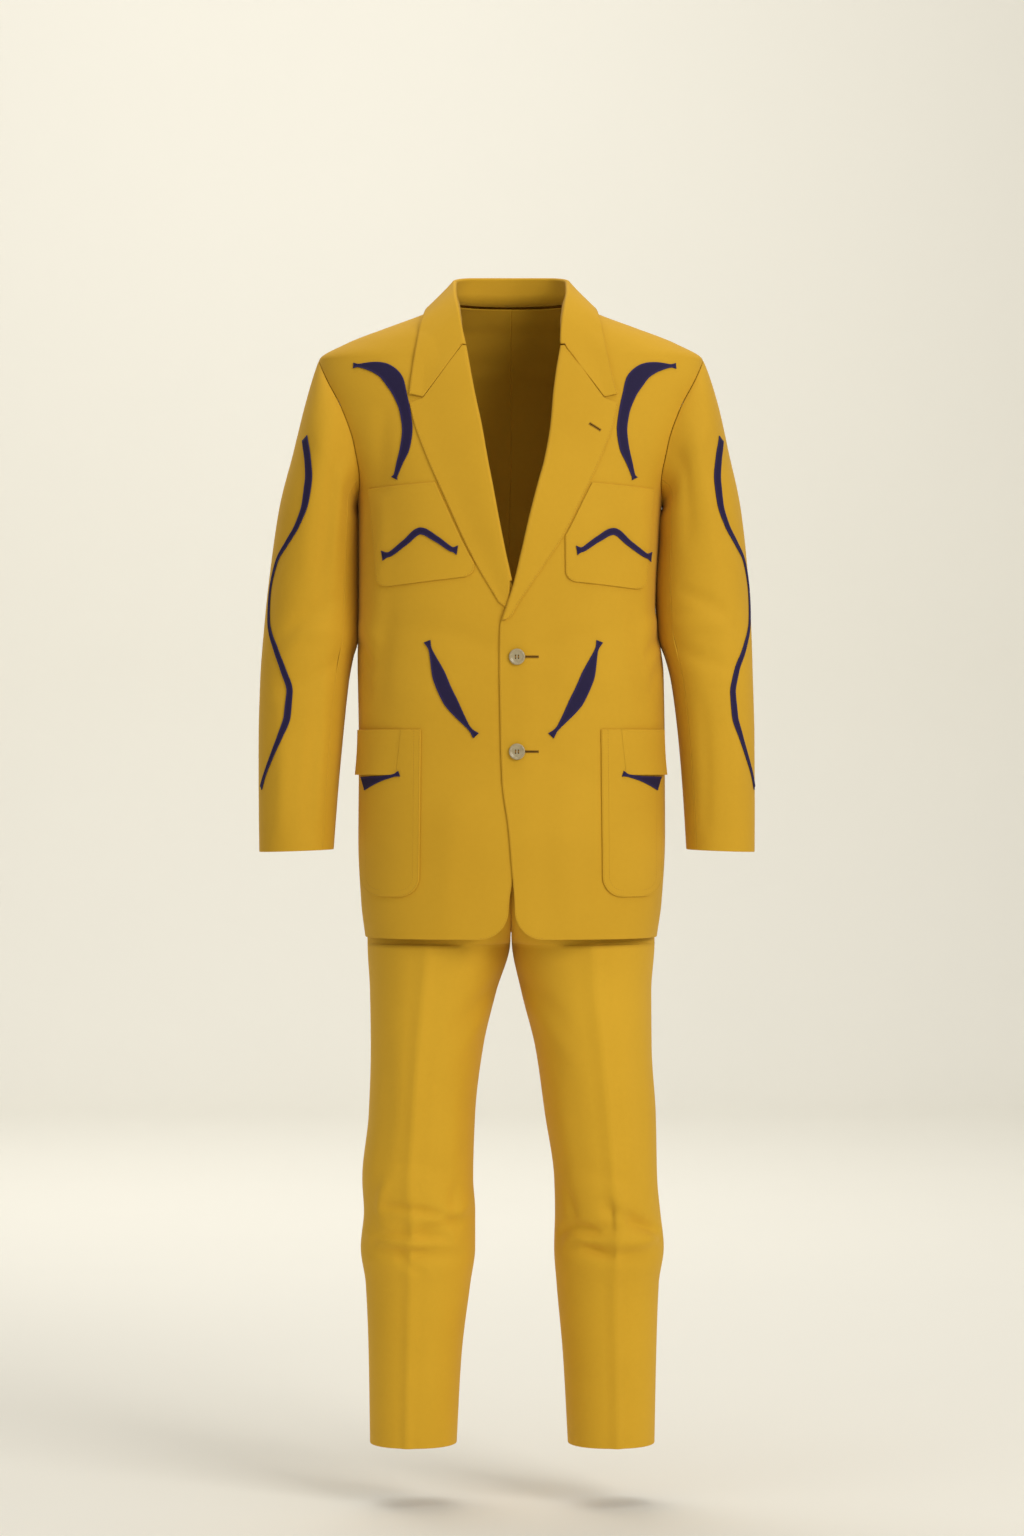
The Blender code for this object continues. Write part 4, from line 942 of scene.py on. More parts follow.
@dataclass(frozen=True)
class ClothFinish:
    """Woven cloth: its colours, its weave and, where set, a painted highlight along its edges."""

    name: str
    light: tuple[float, float, float]
    dark: tuple[float, float, float]
    roughness: float = 0.82
    sheen: float = 0.22
    rib: float = 0.0011
    # Strength of the painted highlight along the edges, 0 for none.
    edge_light: float = 0.0
    weave_bump: float = 0.35

    def material(self, groups: dict[str, bpy.types.NodeTree]) -> bpy.types.Material:
        """Make the material with the shared node groups."""
        write = MaterialWriter(self.name)
        place = write.add("ShaderNodeUVMap", uv_map="cloth").outputs[0]
        edge = write.add("ShaderNodeAttribute", attribute_name="edge_distance").outputs["Fac"]
        twill = write.add("ShaderNodeGroup", node_tree=groups["twill"], in_Place=place, in_Rib=self.rib)
        wool = write.add("ShaderNodeGroup", node_tree=groups["wear"], in_Place=write.place,
                         in_Edge_distance=edge)
        tint = write.maths("MULTIPLY", twill.outputs["Tint"], 0.35)
        part = write.maths("MULTIPLY_ADD", wool.outputs["Mottle"], 0.9, tint)
        colour = write.blend(write.maths("SUBTRACT", part, 0.12), opaque(self.dark), opaque(self.light))
        # Painted highlight: near the edges the colour is lightened towards a bright copy of the light colour,
        # standing in for light caught by the raised corded edge.
        if self.edge_light:
            painted_highlight_part = write.maths("MULTIPLY", wool.outputs["Edge"], self.edge_light)
            colour = write.blend(painted_highlight_part, colour, opaque(self.light, 3.2, 0.01))
        weave = write.add("ShaderNodeBump", in_Strength=self.weave_bump, in_Distance=0.00012,
                          in_Height=twill.outputs["Height"])
        ripple = write.add("ShaderNodeBump", in_Strength=0.6, in_Distance=0.0005,
                           in_Height=wool.outputs["Pucker"], in_Normal=weave.outputs[0])
        write.feed(write.shader, in_Base_Color=colour, in_Normal=ripple.outputs[0],
                   in_Roughness=self.roughness, in_Sheen_Weight=self.sheen, in_Sheen_Roughness=0.45,
                   in_Sheen_Tint=opaque(self.light, more=0.25), in_Specular_IOR_Level=0.25)
        return write.material


@dataclass(frozen=True)
class PlainFinish:
    """A plain material with a slight unevenness: thread, holes, floor."""

    name: str
    colour: tuple[float, float, float]
    roughness: float = 0.7
    specular: float = 0.3
    uneven: float = 0.06
    scale: float = 60.0

    def material(self) -> bpy.types.Material:
        """Make the material."""
        write = MaterialWriter(self.name)
        dark, light = opaque(self.colour, 1 - self.uneven), opaque(self.colour, 1 + self.uneven)
        colour = write.blend(write.noise(write.place, self.scale, 2.0), dark, light)
        write.feed(write.shader, in_Base_Color=colour, in_Roughness=self.roughness,
                   in_Specular_IOR_Level=self.specular)
        return write.material


@dataclass(frozen=True)
class PearlFinish:
    """Button material: pale, faintly cloudy and polished."""

    name: str = "Pearl button"
    light: tuple[float, float, float] = (0.50, 0.42, 0.25)
    dark: tuple[float, float, float] = (0.27, 0.21, 0.11)

    def material(self) -> bpy.types.Material:
        """Make the material."""
        write = MaterialWriter(self.name)
        cloud = write.noise(write.place, 150.0, 3.0, 1.5)
        write.feed(write.shader, in_Base_Color=write.blend(cloud, opaque(self.dark), opaque(self.light)),
                   in_Roughness=0.28, in_Coat_Weight=0.5, in_Coat_Roughness=0.12)
        return write.material


def tube_faces(count: int, sides: int) -> tuple[Array, Array]:
    """Return the walls and the two caps of a tube of rings, as numbers of points."""
    low = np.arange((count - 1) * sides).reshape(-1, sides)
    walls = np.stack((low, np.roll(low, -1, axis=1), np.roll(low, -1, axis=1) + sides, low + sides), axis=-1)
    ring = np.arange(sides)
    return walls.reshape(-1, 4), np.stack((ring[::-1], ring + (count - 1) * sides))


@dataclass
class Thread:
    """Rows of stitches, collected and then built as one object of small joined capsules."""

    name: str
    radius: float = 0.00022
    length: float = 0.0024
    pitch: float = 0.0034
    sides: int = 5
    sink: float = 0.00004
    profile: tuple[tuple[float, float, float], ...] = (
        (0.0, 0.25, -0.9), (0.12, 0.8, -0.1), (0.5, 1.0, 0.35), (0.88, 0.8, -0.1), (1.0, 0.25, -0.9),
    )
    stitches: list[tuple[Array, Array, Array]] = field(default_factory=list)

    def sew(self, points: Array, normals: Array) -> None:
        """Add a row of stitches along a line.

        Args:
            points: The line's points on the cloth.
            normals: The cloth's outward normals there.
        """
        half = self.length / 2
        way = travelled(points)
        if way[-1] < self.pitch:
            return
        middles = np.arange(self.pitch / 2, way[-1] - half, self.pitch)
        read = lambda at, values: np.stack([np.interp(at, way, values[:, k]) for k in range(3)], axis=-1)
        outs = unit(read(middles, normals))
        self.stitches += zip(read(middles - half, points), read(middles + half, points), outs)

    def bar(self, start: Array, end: Array, out: Array) -> None:
        """Add one stitch between two points, its normal pointing out."""
        self.stitches.append((start, end, out))

    def build(self) -> bpy.types.Object:
        """Make the object: each stitch a capsule that dips into the cloth at both ends."""
        starts, ends, outs = (np.array(part) for part in zip(*self.stitches))
        run = unit(ends - starts)
        outs = unit(outs - run * np.sum(outs * run, axis=-1, keepdims=True))
        beside = np.cross(run, outs)
        turns = 2 * np.pi * np.arange(self.sides) / self.sides
        rings = []
        for part, size, rise in self.profile:
            centre = mix(starts, ends, part) + outs * (self.radius * rise - self.sink)
            spokes = [beside * math.cos(t) + outs * math.sin(t) for t in turns]
            rings.append(np.stack([centre + spoke * self.radius * size for spoke in spokes], axis=1))
        points = np.stack(rings, axis=1).reshape(-1, 3)
        quads, caps = tube_faces(len(self.profile), self.sides)
        offsets = np.arange(len(starts))[:, None, None] * len(self.profile) * self.sides
        faces = (quads[None] + offsets).reshape(-1, 4).tolist()
        faces += (caps[None] + offsets).reshape(-1, self.sides).tolist()
        return new_object(self.name, points, faces)


@dataclass(frozen=True)
class PatchShape:
    """A pocket's or flap's outline on a front, by distance from the middle and height."""

    top: float
    bottom: float
    inner_top: float
    inner_bottom: float
    outer_top: float
    outer_bottom: float
    radius: float = 0.0
    tilt: tuple[float, float] = (0.0, 0.0)

    def tilted(self, across: Array, z: Array) -> Array:
        """Return heights raised towards the middle, as the lower and the upper edge slope."""
        full = (z - self.bottom) / (self.top - self.bottom)
        return z + mix(self.tilt[0], self.tilt[1], full) * (self.outer_top - across)

    def row(self, fraction: Array, inset: float = 0.0) -> tuple[Array, Array, Array]:
        """Return where a row starts and ends.

        Args:
            fraction: Part of the height above the lower edge.
            inset: Distance inside the outline.

        Returns:
            Start, end and height of the rows.
        """
        low = self.bottom + inset
        z = mix(low, self.top, fraction)
        full = (z - self.bottom) / (self.top - self.bottom)
        start = mix(self.inner_bottom, self.inner_top, full) + inset
        end = mix(self.outer_bottom, self.outer_top, full) - inset
        drawn_in = corner_inset(max(self.radius - inset, 0.0), z - low)
        return start + drawn_in, end - drawn_in, z

    def fractions(self, count: int) -> Array:
        """Return the heights of rows, close together at the edges and round the corners."""
        height = self.top - self.bottom
        return merged(fractions_with_edges(height, count), self.radius / height * corner_heights(15))

    def outline(self, inset: float, steps: int = 160) -> Array:
        """Return (distance from the middle, height) from the top down one side, across and up the other."""
        height = self.top - self.bottom - inset
        corner = max(self.radius - inset, 0.0) / height * corner_heights(16)
        fraction = np.unique(np.concatenate((corner, np.linspace(0.0, 1.0, steps))))
        start, end, z = self.row(fraction, inset)
        down = np.stack((start, z), axis=-1)[::-1]
        up = np.stack((end, z), axis=-1)
        return np.concatenate((down, up))


@dataclass(frozen=True)
class Strip:
    """An applique strip: places along its middle line with half widths, in a panel's coordinates."""

    rows: tuple[tuple[float, float, float], ...]
    edge_bead: float = 0.00055
    bead_width: float = 0.0009
    edge_drop: float = 0.0004
    edge_radius: float = 0.0005
    under_share: float = 0.4
    steps_along: int = 120
    steps_across: int = 14

    def grid(self) -> tuple[Array, Array, Array, Array]:
        """Return both coordinates of each place, the half width there and the part of it, -1 to 1."""
        positions = np.linspace(0.0, 1.0, len(self.rows))
        t = np.linspace(0.0, 1.0, self.steps_along + 1)
        a, b, half = (smooth_read(positions, [row[k] for row in self.rows], t) for k in range(3))
        run_a, run_b = np.gradient(a), np.gradient(b)
        length = np.hypot(run_a, run_b)
        parts = np.sin(np.linspace(-np.pi / 2, np.pi / 2, self.steps_across + 1))
        across = half[:, None] * parts[None, :]
        place_a = a[:, None] - (run_b / length)[:, None] * across
        place_b = b[:, None] + (run_a / length)[:, None] * across
        half, parts = (np.broadcast_to(values, across.shape) for values in (half[:, None], parts))
        return place_a, place_b, half, parts

    def bead(self, half: Array, part: Array) -> Array:
        """Return the height of the corded edge above the strip's middle."""
        away = half * (1 - np.abs(part)) - self.bead_width * 0.6
        return self.edge_bead * np.exp(-(away / (self.bead_width * 0.55)) ** 2)


@dataclass(frozen=True)
class Trim:
    """An applique: what it lies on, its lift above the skin, how far out each side's moves, and its strip."""

    name: str
    rests_on: str
    lift: float
    moved: tuple[float, float]
    rows: tuple[tuple[float, float, float], ...]


def spread_rows(start: Array, end: Array, lengths: Array, count: int) -> Array:
    """Return each row's places from start to end, close together at both ends.

    Args:
        start: Where each row starts.
        end: Where each row ends.
        lengths: The rows' lengths in metres.
        count: Number of even steps between the ends.

    Returns:
        Places by row and column.
    """
    edge = np.array(EDGE_STEPS)[None, :] / np.maximum(lengths, 0.020)[:, None]
    even = np.linspace(0.0, 1.0, count + 1)[None, 1:-1]
    middle = edge[:, -1:] + (1 - 2 * edge[:, -1:]) * even
    fractions = np.concatenate((edge, middle, 1 - edge[:, ::-1]), axis=1)
    return start[:, None] + (end - start)[:, None] * fractions


def grid_line(points: Array, inset: float) -> tuple[Array, Array]:
    """Return the line at a distance from the last column of a grid, with its normals.

    Args:
        points: Points by row and column.
        inset: Distance from the last column.

    Returns:
        Points and outward normals, one for each row.
    """
    line, outs = [], []
    for row, out in zip(points, grid_normals(points)):
        back = travelled(row[::-1])
        line.append([np.interp(inset, back, row[::-1, k]) for k in range(3)])
        outs.append([np.interp(inset, back, out[::-1, k]) for k in range(3)])
    return np.array(line), unit(np.array(outs))


@dataclass
class Wardrobe:
    """Makes finished pieces of cloth from shells and keeps the shared materials and threads."""

    materials: dict[str, bpy.types.Material] = field(default_factory=dict)
    thread: Thread = field(default_factory=lambda: Thread("stitching"))
    dark_thread: Thread = field(
        default_factory=lambda: Thread("buttonhole_and_button_thread", radius=0.00026)
    )

    def add(self, shell: Shell, finish: str, slot: Slot, held: Held,
            rests_on: Sequence[str] = ()) -> bpy.types.Object:
        """Build a sheet of cloth in place of its CAD node.

        Args:
            shell: The piece, named as its node.
            finish: The material's key.
            slot: The record's slot; not used.
            held: How the cloth is held; not used.
            rests_on: Names of what it lies on or hangs from.

        Returns:
            The object.
        """
        width, length, area = shell.flat_size()
        node = shell.name
        shell.name = node + "_cloth"
        item = shell.build()
        item.data.materials.append(self.materials[finish])
        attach(item, BODY)
        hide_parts(node)
        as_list(rests_on)
        return item

    def add_panel(self, name: str, finish: str, held: Held, skin: Skin, v: Array,
                  spans: Sequence[Array | float], count: int, rests_on: Sequence[str] = ()) -> None:
        """Build a panel whose rows run round a skin.

        Args:
            name: The node's name.
            finish: The material's key.
            held: How the cloth is held.
            skin: The skin, whose first parameter is an angle.
            v: The rows' second parameters.
            spans: First angle, last angle and length in metres of the rows, each one value or one for a row.
            count: Number of steps across.
            rests_on: Names of what it lies on or hangs from.
        """
        angles = spread_rows(*(np.broadcast_to(np.asarray(part, float), v.shape) for part in spans), count)
        shell = shell_from_skin(name, skin, angles, np.broadcast_to(v[:, None], angles.shape))
        self.add(shell, finish, Slot.GABARDINE, held, rests_on)

    def finish_threads(self) -> None:
        """Build the collected stitches."""
        for thread, finish in ((self.thread, "thread"), (self.dark_thread, "dark_thread")):
            item = thread.build()
            item.data.materials.append(self.materials[finish])
            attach(item, BODY)
            LOG.info("%s: %d stitches", item.name, len(thread.stitches))


def lofted(points: Array, near: int = 6) -> Surface:
    """Return a surface by X and Z that follows a grid of points.

    Args:
        points: Points by row and column.
        near: How many of the nearest points a place is read from.

    Returns:
        The surface.
    """
    cloud = points.reshape(-1, 3)

    def surface(x: Array, z: Array) -> Array:
        x, z = np.broadcast_arrays(np.asarray(x, float), np.asarray(z, float))
        away = (x[..., None] - cloud[:, 0]) ** 2 + (z[..., None] - cloud[:, 2]) ** 2
        nearest = np.argsort(away, axis=-1)[..., :near]
        weight = 1 / (np.take_along_axis(away, nearest, axis=-1) + 1e-7)
        y = np.sum(cloud[:, 1][nearest] * weight, axis=-1) / np.sum(weight, axis=-1)
        return stack(x, y, z)

    return surface


@dataclass
class Buttonhole:
    """A worked buttonhole: a slit with close stitches along both lips and a bar at its end."""

    name: str
    skin: Skin
    start: tuple[float, float]
    end: tuple[float, float]
    lip: float = 0.0004
    reach: float = 0.0018
    pitch: float = 0.0006
    steps: int = 19
    section: tuple[tuple[int, float], ...] = ((-1, 0.0003), (1, 0.0003), (1, 0.0001), (-1, 0.0001))
    stitch_lift: float = 0.0002
    inner_share: float = 0.8
    bars: tuple[float, float] = (0.0002, 0.0006)

    def place(self, along: Array, beside: Array | float, lift: float) -> Array:
        """Return points at parts of the way along the slit and at distances beside it."""
        start, run = np.array(self.start), np.array(self.end) - np.array(self.start)
        side = np.array([-run[1], run[0]]) / np.hypot(*run)
        spot = start + np.asarray(along, float)[..., None] * run + np.asarray(beside, float)[..., None] * side
        return self.skin.points(spot[..., 0], spot[..., 1], lift)

    def work(self, wardrobe: Wardrobe) -> None:
        """Make the slit and sew its lips with a wardrobe's material and thread."""
        along = np.linspace(0.0, 1.0, self.steps + 1)
        rings = [self.place(along, np.full(len(along), side * self.lip), lift) for side, lift in self.section]
        walls, caps = tube_faces(len(along), len(rings))
        points = np.stack(rings, axis=1).reshape(-1, 3)
        item = new_object(self.name + "_slit", points, walls.tolist() + caps.tolist(), smooth=False)
        item.data.materials.append(wardrobe.materials["hole"])
        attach(item, BODY)
        out = self.skin.normals(np.array(self.start[0]), np.array(self.start[1]))
        length = math.dist(self.start, self.end)
        for part in np.arange(0.0, 1.0, self.pitch / length):
            for lip in (-1.0, 1.0):
                beside = lip * np.array([self.lip * self.inner_share, self.reach])
                wardrobe.dark_thread.bar(*self.place(np.full(2, part), beside, self.stitch_lift), out)
        for beyond in self.bars:
            beside = np.array([-self.reach, self.reach])
            place = np.full(2, 1 + beyond / length)
            wardrobe.dark_thread.bar(*self.place(place, beside, self.stitch_lift), out)


@dataclass
class Jacket:
    """The jacket: fronts, backs, sleeves, lapels, collar, pockets, appliques and buttons."""

    wardrobe: Wardrobe
    torso: TorsoForm = field(default_factory=TorsoForm)
    column_count: int = 70
    back_column_count: int = 50
    button_x: float = 0.0072
    button_heights: tuple[float, float] = (-0.4420, -0.5560)
    flap_flare: float = 0.0030
    lapel_clearance: float = 0.0020
    lapel_size: tuple[float, float] = (0.34, 0.085)
    collar_size: tuple[float, float] = (0.20, 0.06)
    collar_crowding: float = 1.15
    roll_count: int = 13
    seam_half: float = -0.00005
    stitch_tops: dict[Side, float] = field(default_factory=lambda: {Side.LEFT: -0.405, Side.RIGHT: -0.400})
    fade_angle: float = 9.0
    fade_angle_behind: float = 5.0
    fade_height: float = 0.03
    front_fade_top: float = -0.070
    back_fade_top: float = -0.060
    lapel_slot: tuple[tuple[float, float], tuple[float, float]] = ((0.0945, -0.1600), (0.1075, -0.1680))
    front_folds: tuple[Fold, ...] = millimetre_folds(
        (20, -442, 150, -408, 13, -1.2, 8), (22, -452, 150, -475, 16, 1, -6),
        (-4, -440, -145, -404, 14, -1.3, -8), (-6, -455, -150, -490, 17, 1, 6),
        (24, -556, 105, -600, 15, -0.9, 4), (-8, -556, -100, -612, 16, -1, -4),
        (158, -250, 168, -420, 10, 1.8, -4), (-156, -255, -170, -430, 11, 2, 5),
        (146, -380, 160, -520, 12, -1.3, 3), (-148, -385, -158, -500, 12, -1.4, -3),
        (150, -150, 160, -235, 12, -1.6, 2), (-152, -145, -158, -240, 12, -1.8, -2),
        (60, -640, 72, -770, 18, 1.2, 2), (-64, -630, -78, -775, 20, 1.4, -3),
        (-187, -420, -171, -458, 6, -2.4, 2), (-187, -445, -174, -492, 6.5, -1.8, 2),
        (-186, -400, -160, -425, 8, 1.4, 3), (183, -412, 166, -446, 6, -2.2, -2),
        (185, -440, 172, -484, 6.5, -1.6, -2), (182, -392, 158, -414, 8, 1.3, -3),
    )
    back_folds: tuple[Fold, ...] = millimetre_folds(
        (150, -150, 150, -420, 15, 3.2, 10), (-148, -155, -152, -430, 16, 3.5, -10),
        (128, -200, 118, -400, 14, -2.2, 4), (-126, -205, -120, -410, 14, -2.2, -4),
        (20, -80, 130, -110, 12, -1.2, 4), (-18, -82, -130, -112, 12, -1.3, -4),
        (30, -440, 150, -410, 14, -1.4, 4), (-34, -446, -150, -416, 15, -1.3, -4),
        (80, -560, 90, -770, 22, 2.4, 4), (-74, -555, -88, -772, 22, 2.6, -3),
        (128, -570, 136, -760, 18, -1.8, 3), (-126, -580, -134, -770, 18, -2, -3),
    )
    sleeve_folds: dict[Side, tuple[Fold, ...]] = field(default_factory=lambda: {
        Side.LEFT: millimetre_folds(
            (-30, -360, 45, -410, 10, -2.2, 6), (-45, -400, 35, -395, 9, 1.6, -4),
            (-50, -425, 40, -455, 11, -1.8, -5), (-20, -170, -20, -300, 12, -1.8, 4),
            (10, -130, 8, -330, 14, 1.4, -3), (30, -480, 20, -640, 13, 1.3, 4),
            (-20, -500, -26, -650, 12, -1.4, 3), (160, -350, 240, -400, 11, -2.2, 6),
            (150, -420, 230, -440, 12, -2, -5), (190, -160, 186, -330, 14, 1.8, 3),
        ),
        Side.RIGHT: millimetre_folds(
            (-35, -370, 40, -430, 11, -2.4, 6), (-45, -410, 30, -418, 10, 1.8, 4),
            (-50, -440, 30, -480, 12, -2, -6), (-10, -160, -12, -360, 11, -1.6, -3),
            (-30, -150, -31, -390, 11, 1.7, 2), (-30, -430, -34, -640, 11, 1.4, -2),
            (12, -140, 4, -340, 15, 1.6, 3), (28, -500, 24, -650, 13, 1.4, -4),
            (-24, -520, -20, -660, 12, -1.3, 3), (165, -360, 245, -395, 11, -2.4, -5),
            (150, -410, 225, -460, 12, -1.8, 6), (188, -155, 194, -320, 14, 1.6, -3),
        ),
    })
    sleeve_radius: float = 0.062
    sleeve_length: float = 0.62
    sleeve_seam_gap: float = 0.03
    sleeve_fades: tuple[float, float] = (0.16, 0.05)
    press: float = 0.0021
    press_reach: float = 30.0
    press_top: float = -0.252
    press_bottom: float = -0.440
    press_fade: float = 0.02
    armpit_press: dict[Side, float] = field(default_factory=lambda: {Side.LEFT: 0.0034, Side.RIGHT: 0.0016})
    armpit_top: float = -0.238
    armpit_bottom: float = -0.300
    armpit_fades: tuple[float, float] = (0.012, 0.03)
    patch_steps: tuple[int, int] = (48, 44)
    feather_sink: float = CLOTH * 0.9 + 0.0003
    feather_thickness: float = 0.1
    feather_radius: float = 0.0001
    stitch_clearance: float = 0.001
    breast_flaps: dict[Side, PatchShape] = field(default_factory=lambda: {
        Side.LEFT: PatchShape(-0.2365, -0.361, 0.0640, 0.0655, 0.1730, 0.1610, 0.012, (0.100, 0.065)),
        Side.RIGHT: PatchShape(-0.2365, -0.359, 0.0400, 0.0440, 0.1730, 0.1590, 0.012, (0.112, 0.062)),
    })
    hip_pocket: PatchShape = PatchShape(-0.5290, -0.7310, 0.1080, 0.1100, 0.1835, 0.1825, 0.024)
    hip_flap: PatchShape = PatchShape(-0.5290, -0.5840, 0.1320, 0.1380, 0.1835, 0.1837)
    trims: tuple[Trim, ...] = (
        Trim("crescent", "jacket_front", TRIM_GAP, (0.0105, 0.0015), (
            (0.19, -0.0862, 0.0036), (0.184, -0.0866, 0.0022), (0.169, -0.0883, 0.0056),
            (0.153, -0.0935, 0.0094), (0.1405, -0.1055, 0.0112), (0.1322, -0.1245, 0.0082),
            (0.1262, -0.1455, 0.0066), (0.1236, -0.167, 0.0064), (0.1262, -0.188, 0.006),
            (0.1325, -0.2065, 0.004), (0.1375, -0.2215, 0.0026), (0.1395, -0.2255, 0.0042),
        )),
        Trim("arrow", "breast_flap", ON_PANEL + TRIM_GAP, (0.007, -0.0075), (
            (0.16, -0.319, 0.0062), (0.153, -0.318, 0.003), (0.134, -0.304, 0.0036),
            (0.1155, -0.2905, 0.0042), (0.097, -0.3, 0.0036), (0.078, -0.313, 0.003),
            (0.0715, -0.314, 0.0058),
        )),
        Trim("dart", "jacket_front", TRIM_GAP, (0.003, -0.003), (
            (0.104, -0.423, 0.0042), (0.1, -0.433, 0.0022), (0.088, -0.468, 0.0084),
            (0.077, -0.493, 0.0086), (0.053, -0.528, 0.0022), (0.045, -0.537, 0.0046),
        )),
        Trim("pocket_inset", "hip_pocket", ON_PANEL + TRIM_GAP, (0.0, 0.0), (
            (0.1335, -0.5825, 0.0036), (0.1405, -0.5848, 0.0018), (0.154, -0.588, 0.003),
            (0.168, -0.5915, 0.006), (0.178, -0.5945, 0.0086),
        )),
        Trim("sleeve_wave", "sleeve_top", TRIM_GAP, (0.005, -0.005), (
            (0.053, -0.174, 0.0056), (0.036, -0.2, 0.0056), (0.0255, -0.228, 0.0058),
            (0.0232, -0.255, 0.005), (0.03, -0.28, 0.004), (0.045, -0.302, 0.0034), (0.064, -0.325, 0.0028),
            (0.074, -0.36, 0.0026), (0.069, -0.395, 0.0028), (0.0505, -0.427, 0.0034),
            (0.0318, -0.455, 0.004), (0.0197, -0.485, 0.0044), (0.0205, -0.512, 0.0048),
            (0.03, -0.538, 0.0042), (0.0445, -0.562, 0.0034), (0.059, -0.582, 0.0028),
            (0.0724, -0.6, 0.0038),
        )),
    )

    def __post_init__(self) -> None:
        """Make the forms that rest on the torso."""
        self.lapel = LapelForm(self.torso)
        self.collar = CollarForm(self.torso, self.lapel)
        self.sleeve = SleeveForm(self.torso)

    def heights(self) -> Array:
        """Return the rows' heights: round the hem's corner, up the side, past the armhole to the neck."""
        form = self.torso
        corner = form.hem_z + form.corner_radius * corner_heights(22)
        side = np.linspace(form.hem_z + form.corner_radius, form.armpit_z, 96)
        middle = (form.armpit_z + form.shoulder_z) / 2
        half = (form.shoulder_z - form.armpit_z) / 2
        armhole = middle + half * np.sin(np.radians(np.linspace(-90.0, 90.0, 49)))
        shoulder = np.linspace(form.shoulder_z, form.neck_z, 30)
        edges = np.array(EDGE_STEPS)
        return merged(corner, side, armhole, shoulder, form.hem_z + edges, form.neck_z - edges)

    def seam_angle(self, z: Array, depth_name: str) -> Array:
        """Return how far from 90 degrees a panel ends to leave half a seam's gap at the side."""
        rest = self.seam_half / self.torso.sections.read(depth_name, z)
        return 90.0 - np.degrees(np.arcsin(super_rest(rest, self.torso.sections.read("square", z))))

    def front_relief(self, points: Array, angle: Array, z: Array) -> Array:
        """Return the height of a front's folds, fading towards its seams."""
        fade = ease((self.torso.armhole_angle(z) - angle) / self.fade_angle)
        fade = fade * ease((self.front_fade_top - points[..., 2]) / self.fade_height)
        return folds_rise(self.front_folds, points[..., 0], points[..., 2]) * fade

    def back_relief(self, points: Array, angle: Array, z: Array) -> Array:
        """Return the height of a back's folds, fading towards its seams."""
        fade = ease((angle - 180.0 + self.torso.armhole_angle(z)) / self.fade_angle)
        fade = fade * ease((180.0 - angle) / self.fade_angle_behind)
        fade = fade * ease((self.back_fade_top - points[..., 2]) / self.fade_height)
        return folds_rise(self.back_folds, points[..., 0], points[..., 2]) * fade

    def front_skin(self, side: Side) -> Skin:
        """Return a front's skin by angle and height."""
        return Skin(lambda a, z: self.torso.point(side, a, z), self.front_relief, (0.3, 0.0004), side.value,
                    (-89.5, 89.9999))

    def chest_skin(self, side: Side) -> Skin:
        """Return a front's skin by X and height."""
        def relief(points: Array, x: Array, z: Array) -> Array:
            return self.front_relief(points, self.torso.angle_at(side, x, z), z)

        return Skin(lambda x, z: self.torso.front_point(side, x, z), relief, (0.0012, 0.0012))

    def make_front(self, side: Side) -> None:
        """Make a front, with its edge stitching."""
        form = self.torso
        z = self.heights()
        start = form.angle_at(side, form.edge_x(side, z), z)
        end = np.minimum(form.armhole_angle(z), 90.0 - self.seam_angle(z, "front"))
        lengths = np.radians(end - start) * form.sections.read("half_width", z)
        self.wardrobe.add_panel("jacket_front_" + side.label, "jacket", Held.DRAPED, self.front_skin(side), z,
                                (start, end, lengths), self.column_count)
        hem, radius = form.hem_z + STITCH_INSET, form.corner_radius - STITCH_INSET
        corner = hem + radius * corner_heights(30)
        rows = np.concatenate((corner, np.linspace(corner[-1], self.stitch_tops[side], 200)[1:]))
        inset = STITCH_INSET + corner_inset(radius, rows - hem)
        self.sew(self.chest_skin(side), form.edges.read(side.label, rows) + side.value * inset, rows)

    def sew(self, skin: Skin, u: Array, v: Array, lift: float = 0.0) -> None:
        """Sew a row of stitches along places on a skin."""
        u, v = np.asarray(u, float), np.asarray(v, float)
        self.wardrobe.thread.sew(skin.points(u, v, lift), skin.normals(u, v))

    def make_back(self, side: Side) -> None:
        """Make half of the back."""
        form = self.torso
        z = self.heights()
        start = np.maximum(180.0 - form.armhole_angle(z), 90.0 + self.seam_angle(z, "back"))
        radius = form.sections.read("half_width", z)
        end = 180.0 - np.degrees(self.seam_half / radius)
        skin = Skin(lambda a, h: form.point(side, a, h), self.back_relief, (0.3, 0.0004), side.value,
                    (90.0001, 270.0))
        self.wardrobe.add_panel("jacket_back_" + side.label, "jacket", Held.DRAPED, skin, z,
                                (start, end, np.radians(end - start) * radius), self.back_column_count)

    def make_lapel(self, side: Side) -> None:
        """Make a lapel, stitched along its edge."""
        length, width = self.lapel_size
        places = merged(np.linspace(0, 1, 110), 1 - np.array(EDGE_STEPS) / length)
        roll = np.linspace(0.0, 1.0, self.roll_count)
        leaf = fractions_to_edge(width, 46)
        points = self.lapel.rows(side, places, roll, leaf)
        chest = self.chest_skin(side)
        x, z = points[:, len(roll):, 0], points[:, len(roll):, 2]
        flat = self.torso.front_point(side, x, z)
        rise = chest.relief(flat, x, z)[..., None] * self.torso.front_normal(side, x, z)
        points[:, len(roll):] += rise * ease(leaf * 2)[None, :, None]
        if side is Side.RIGHT:
            points = points[::-1]
        shell = shell_from_points("lapel_" + side.label, points)
        self.wardrobe.add(shell, "jacket", Slot.GABARDINE, Held.FOLDED, ["jacket_front_" + side.label])
        self.wardrobe.thread.sew(*grid_line(points, STITCH_INSET))
        if side is Side.LEFT:
            flat = Skin(lofted(points), lambda spots, x, z: np.zeros(np.shape(x)), (0.002, 0.002))
            Buttonhole("lapel_buttonhole", flat, *self.lapel_slot).work(self.wardrobe)

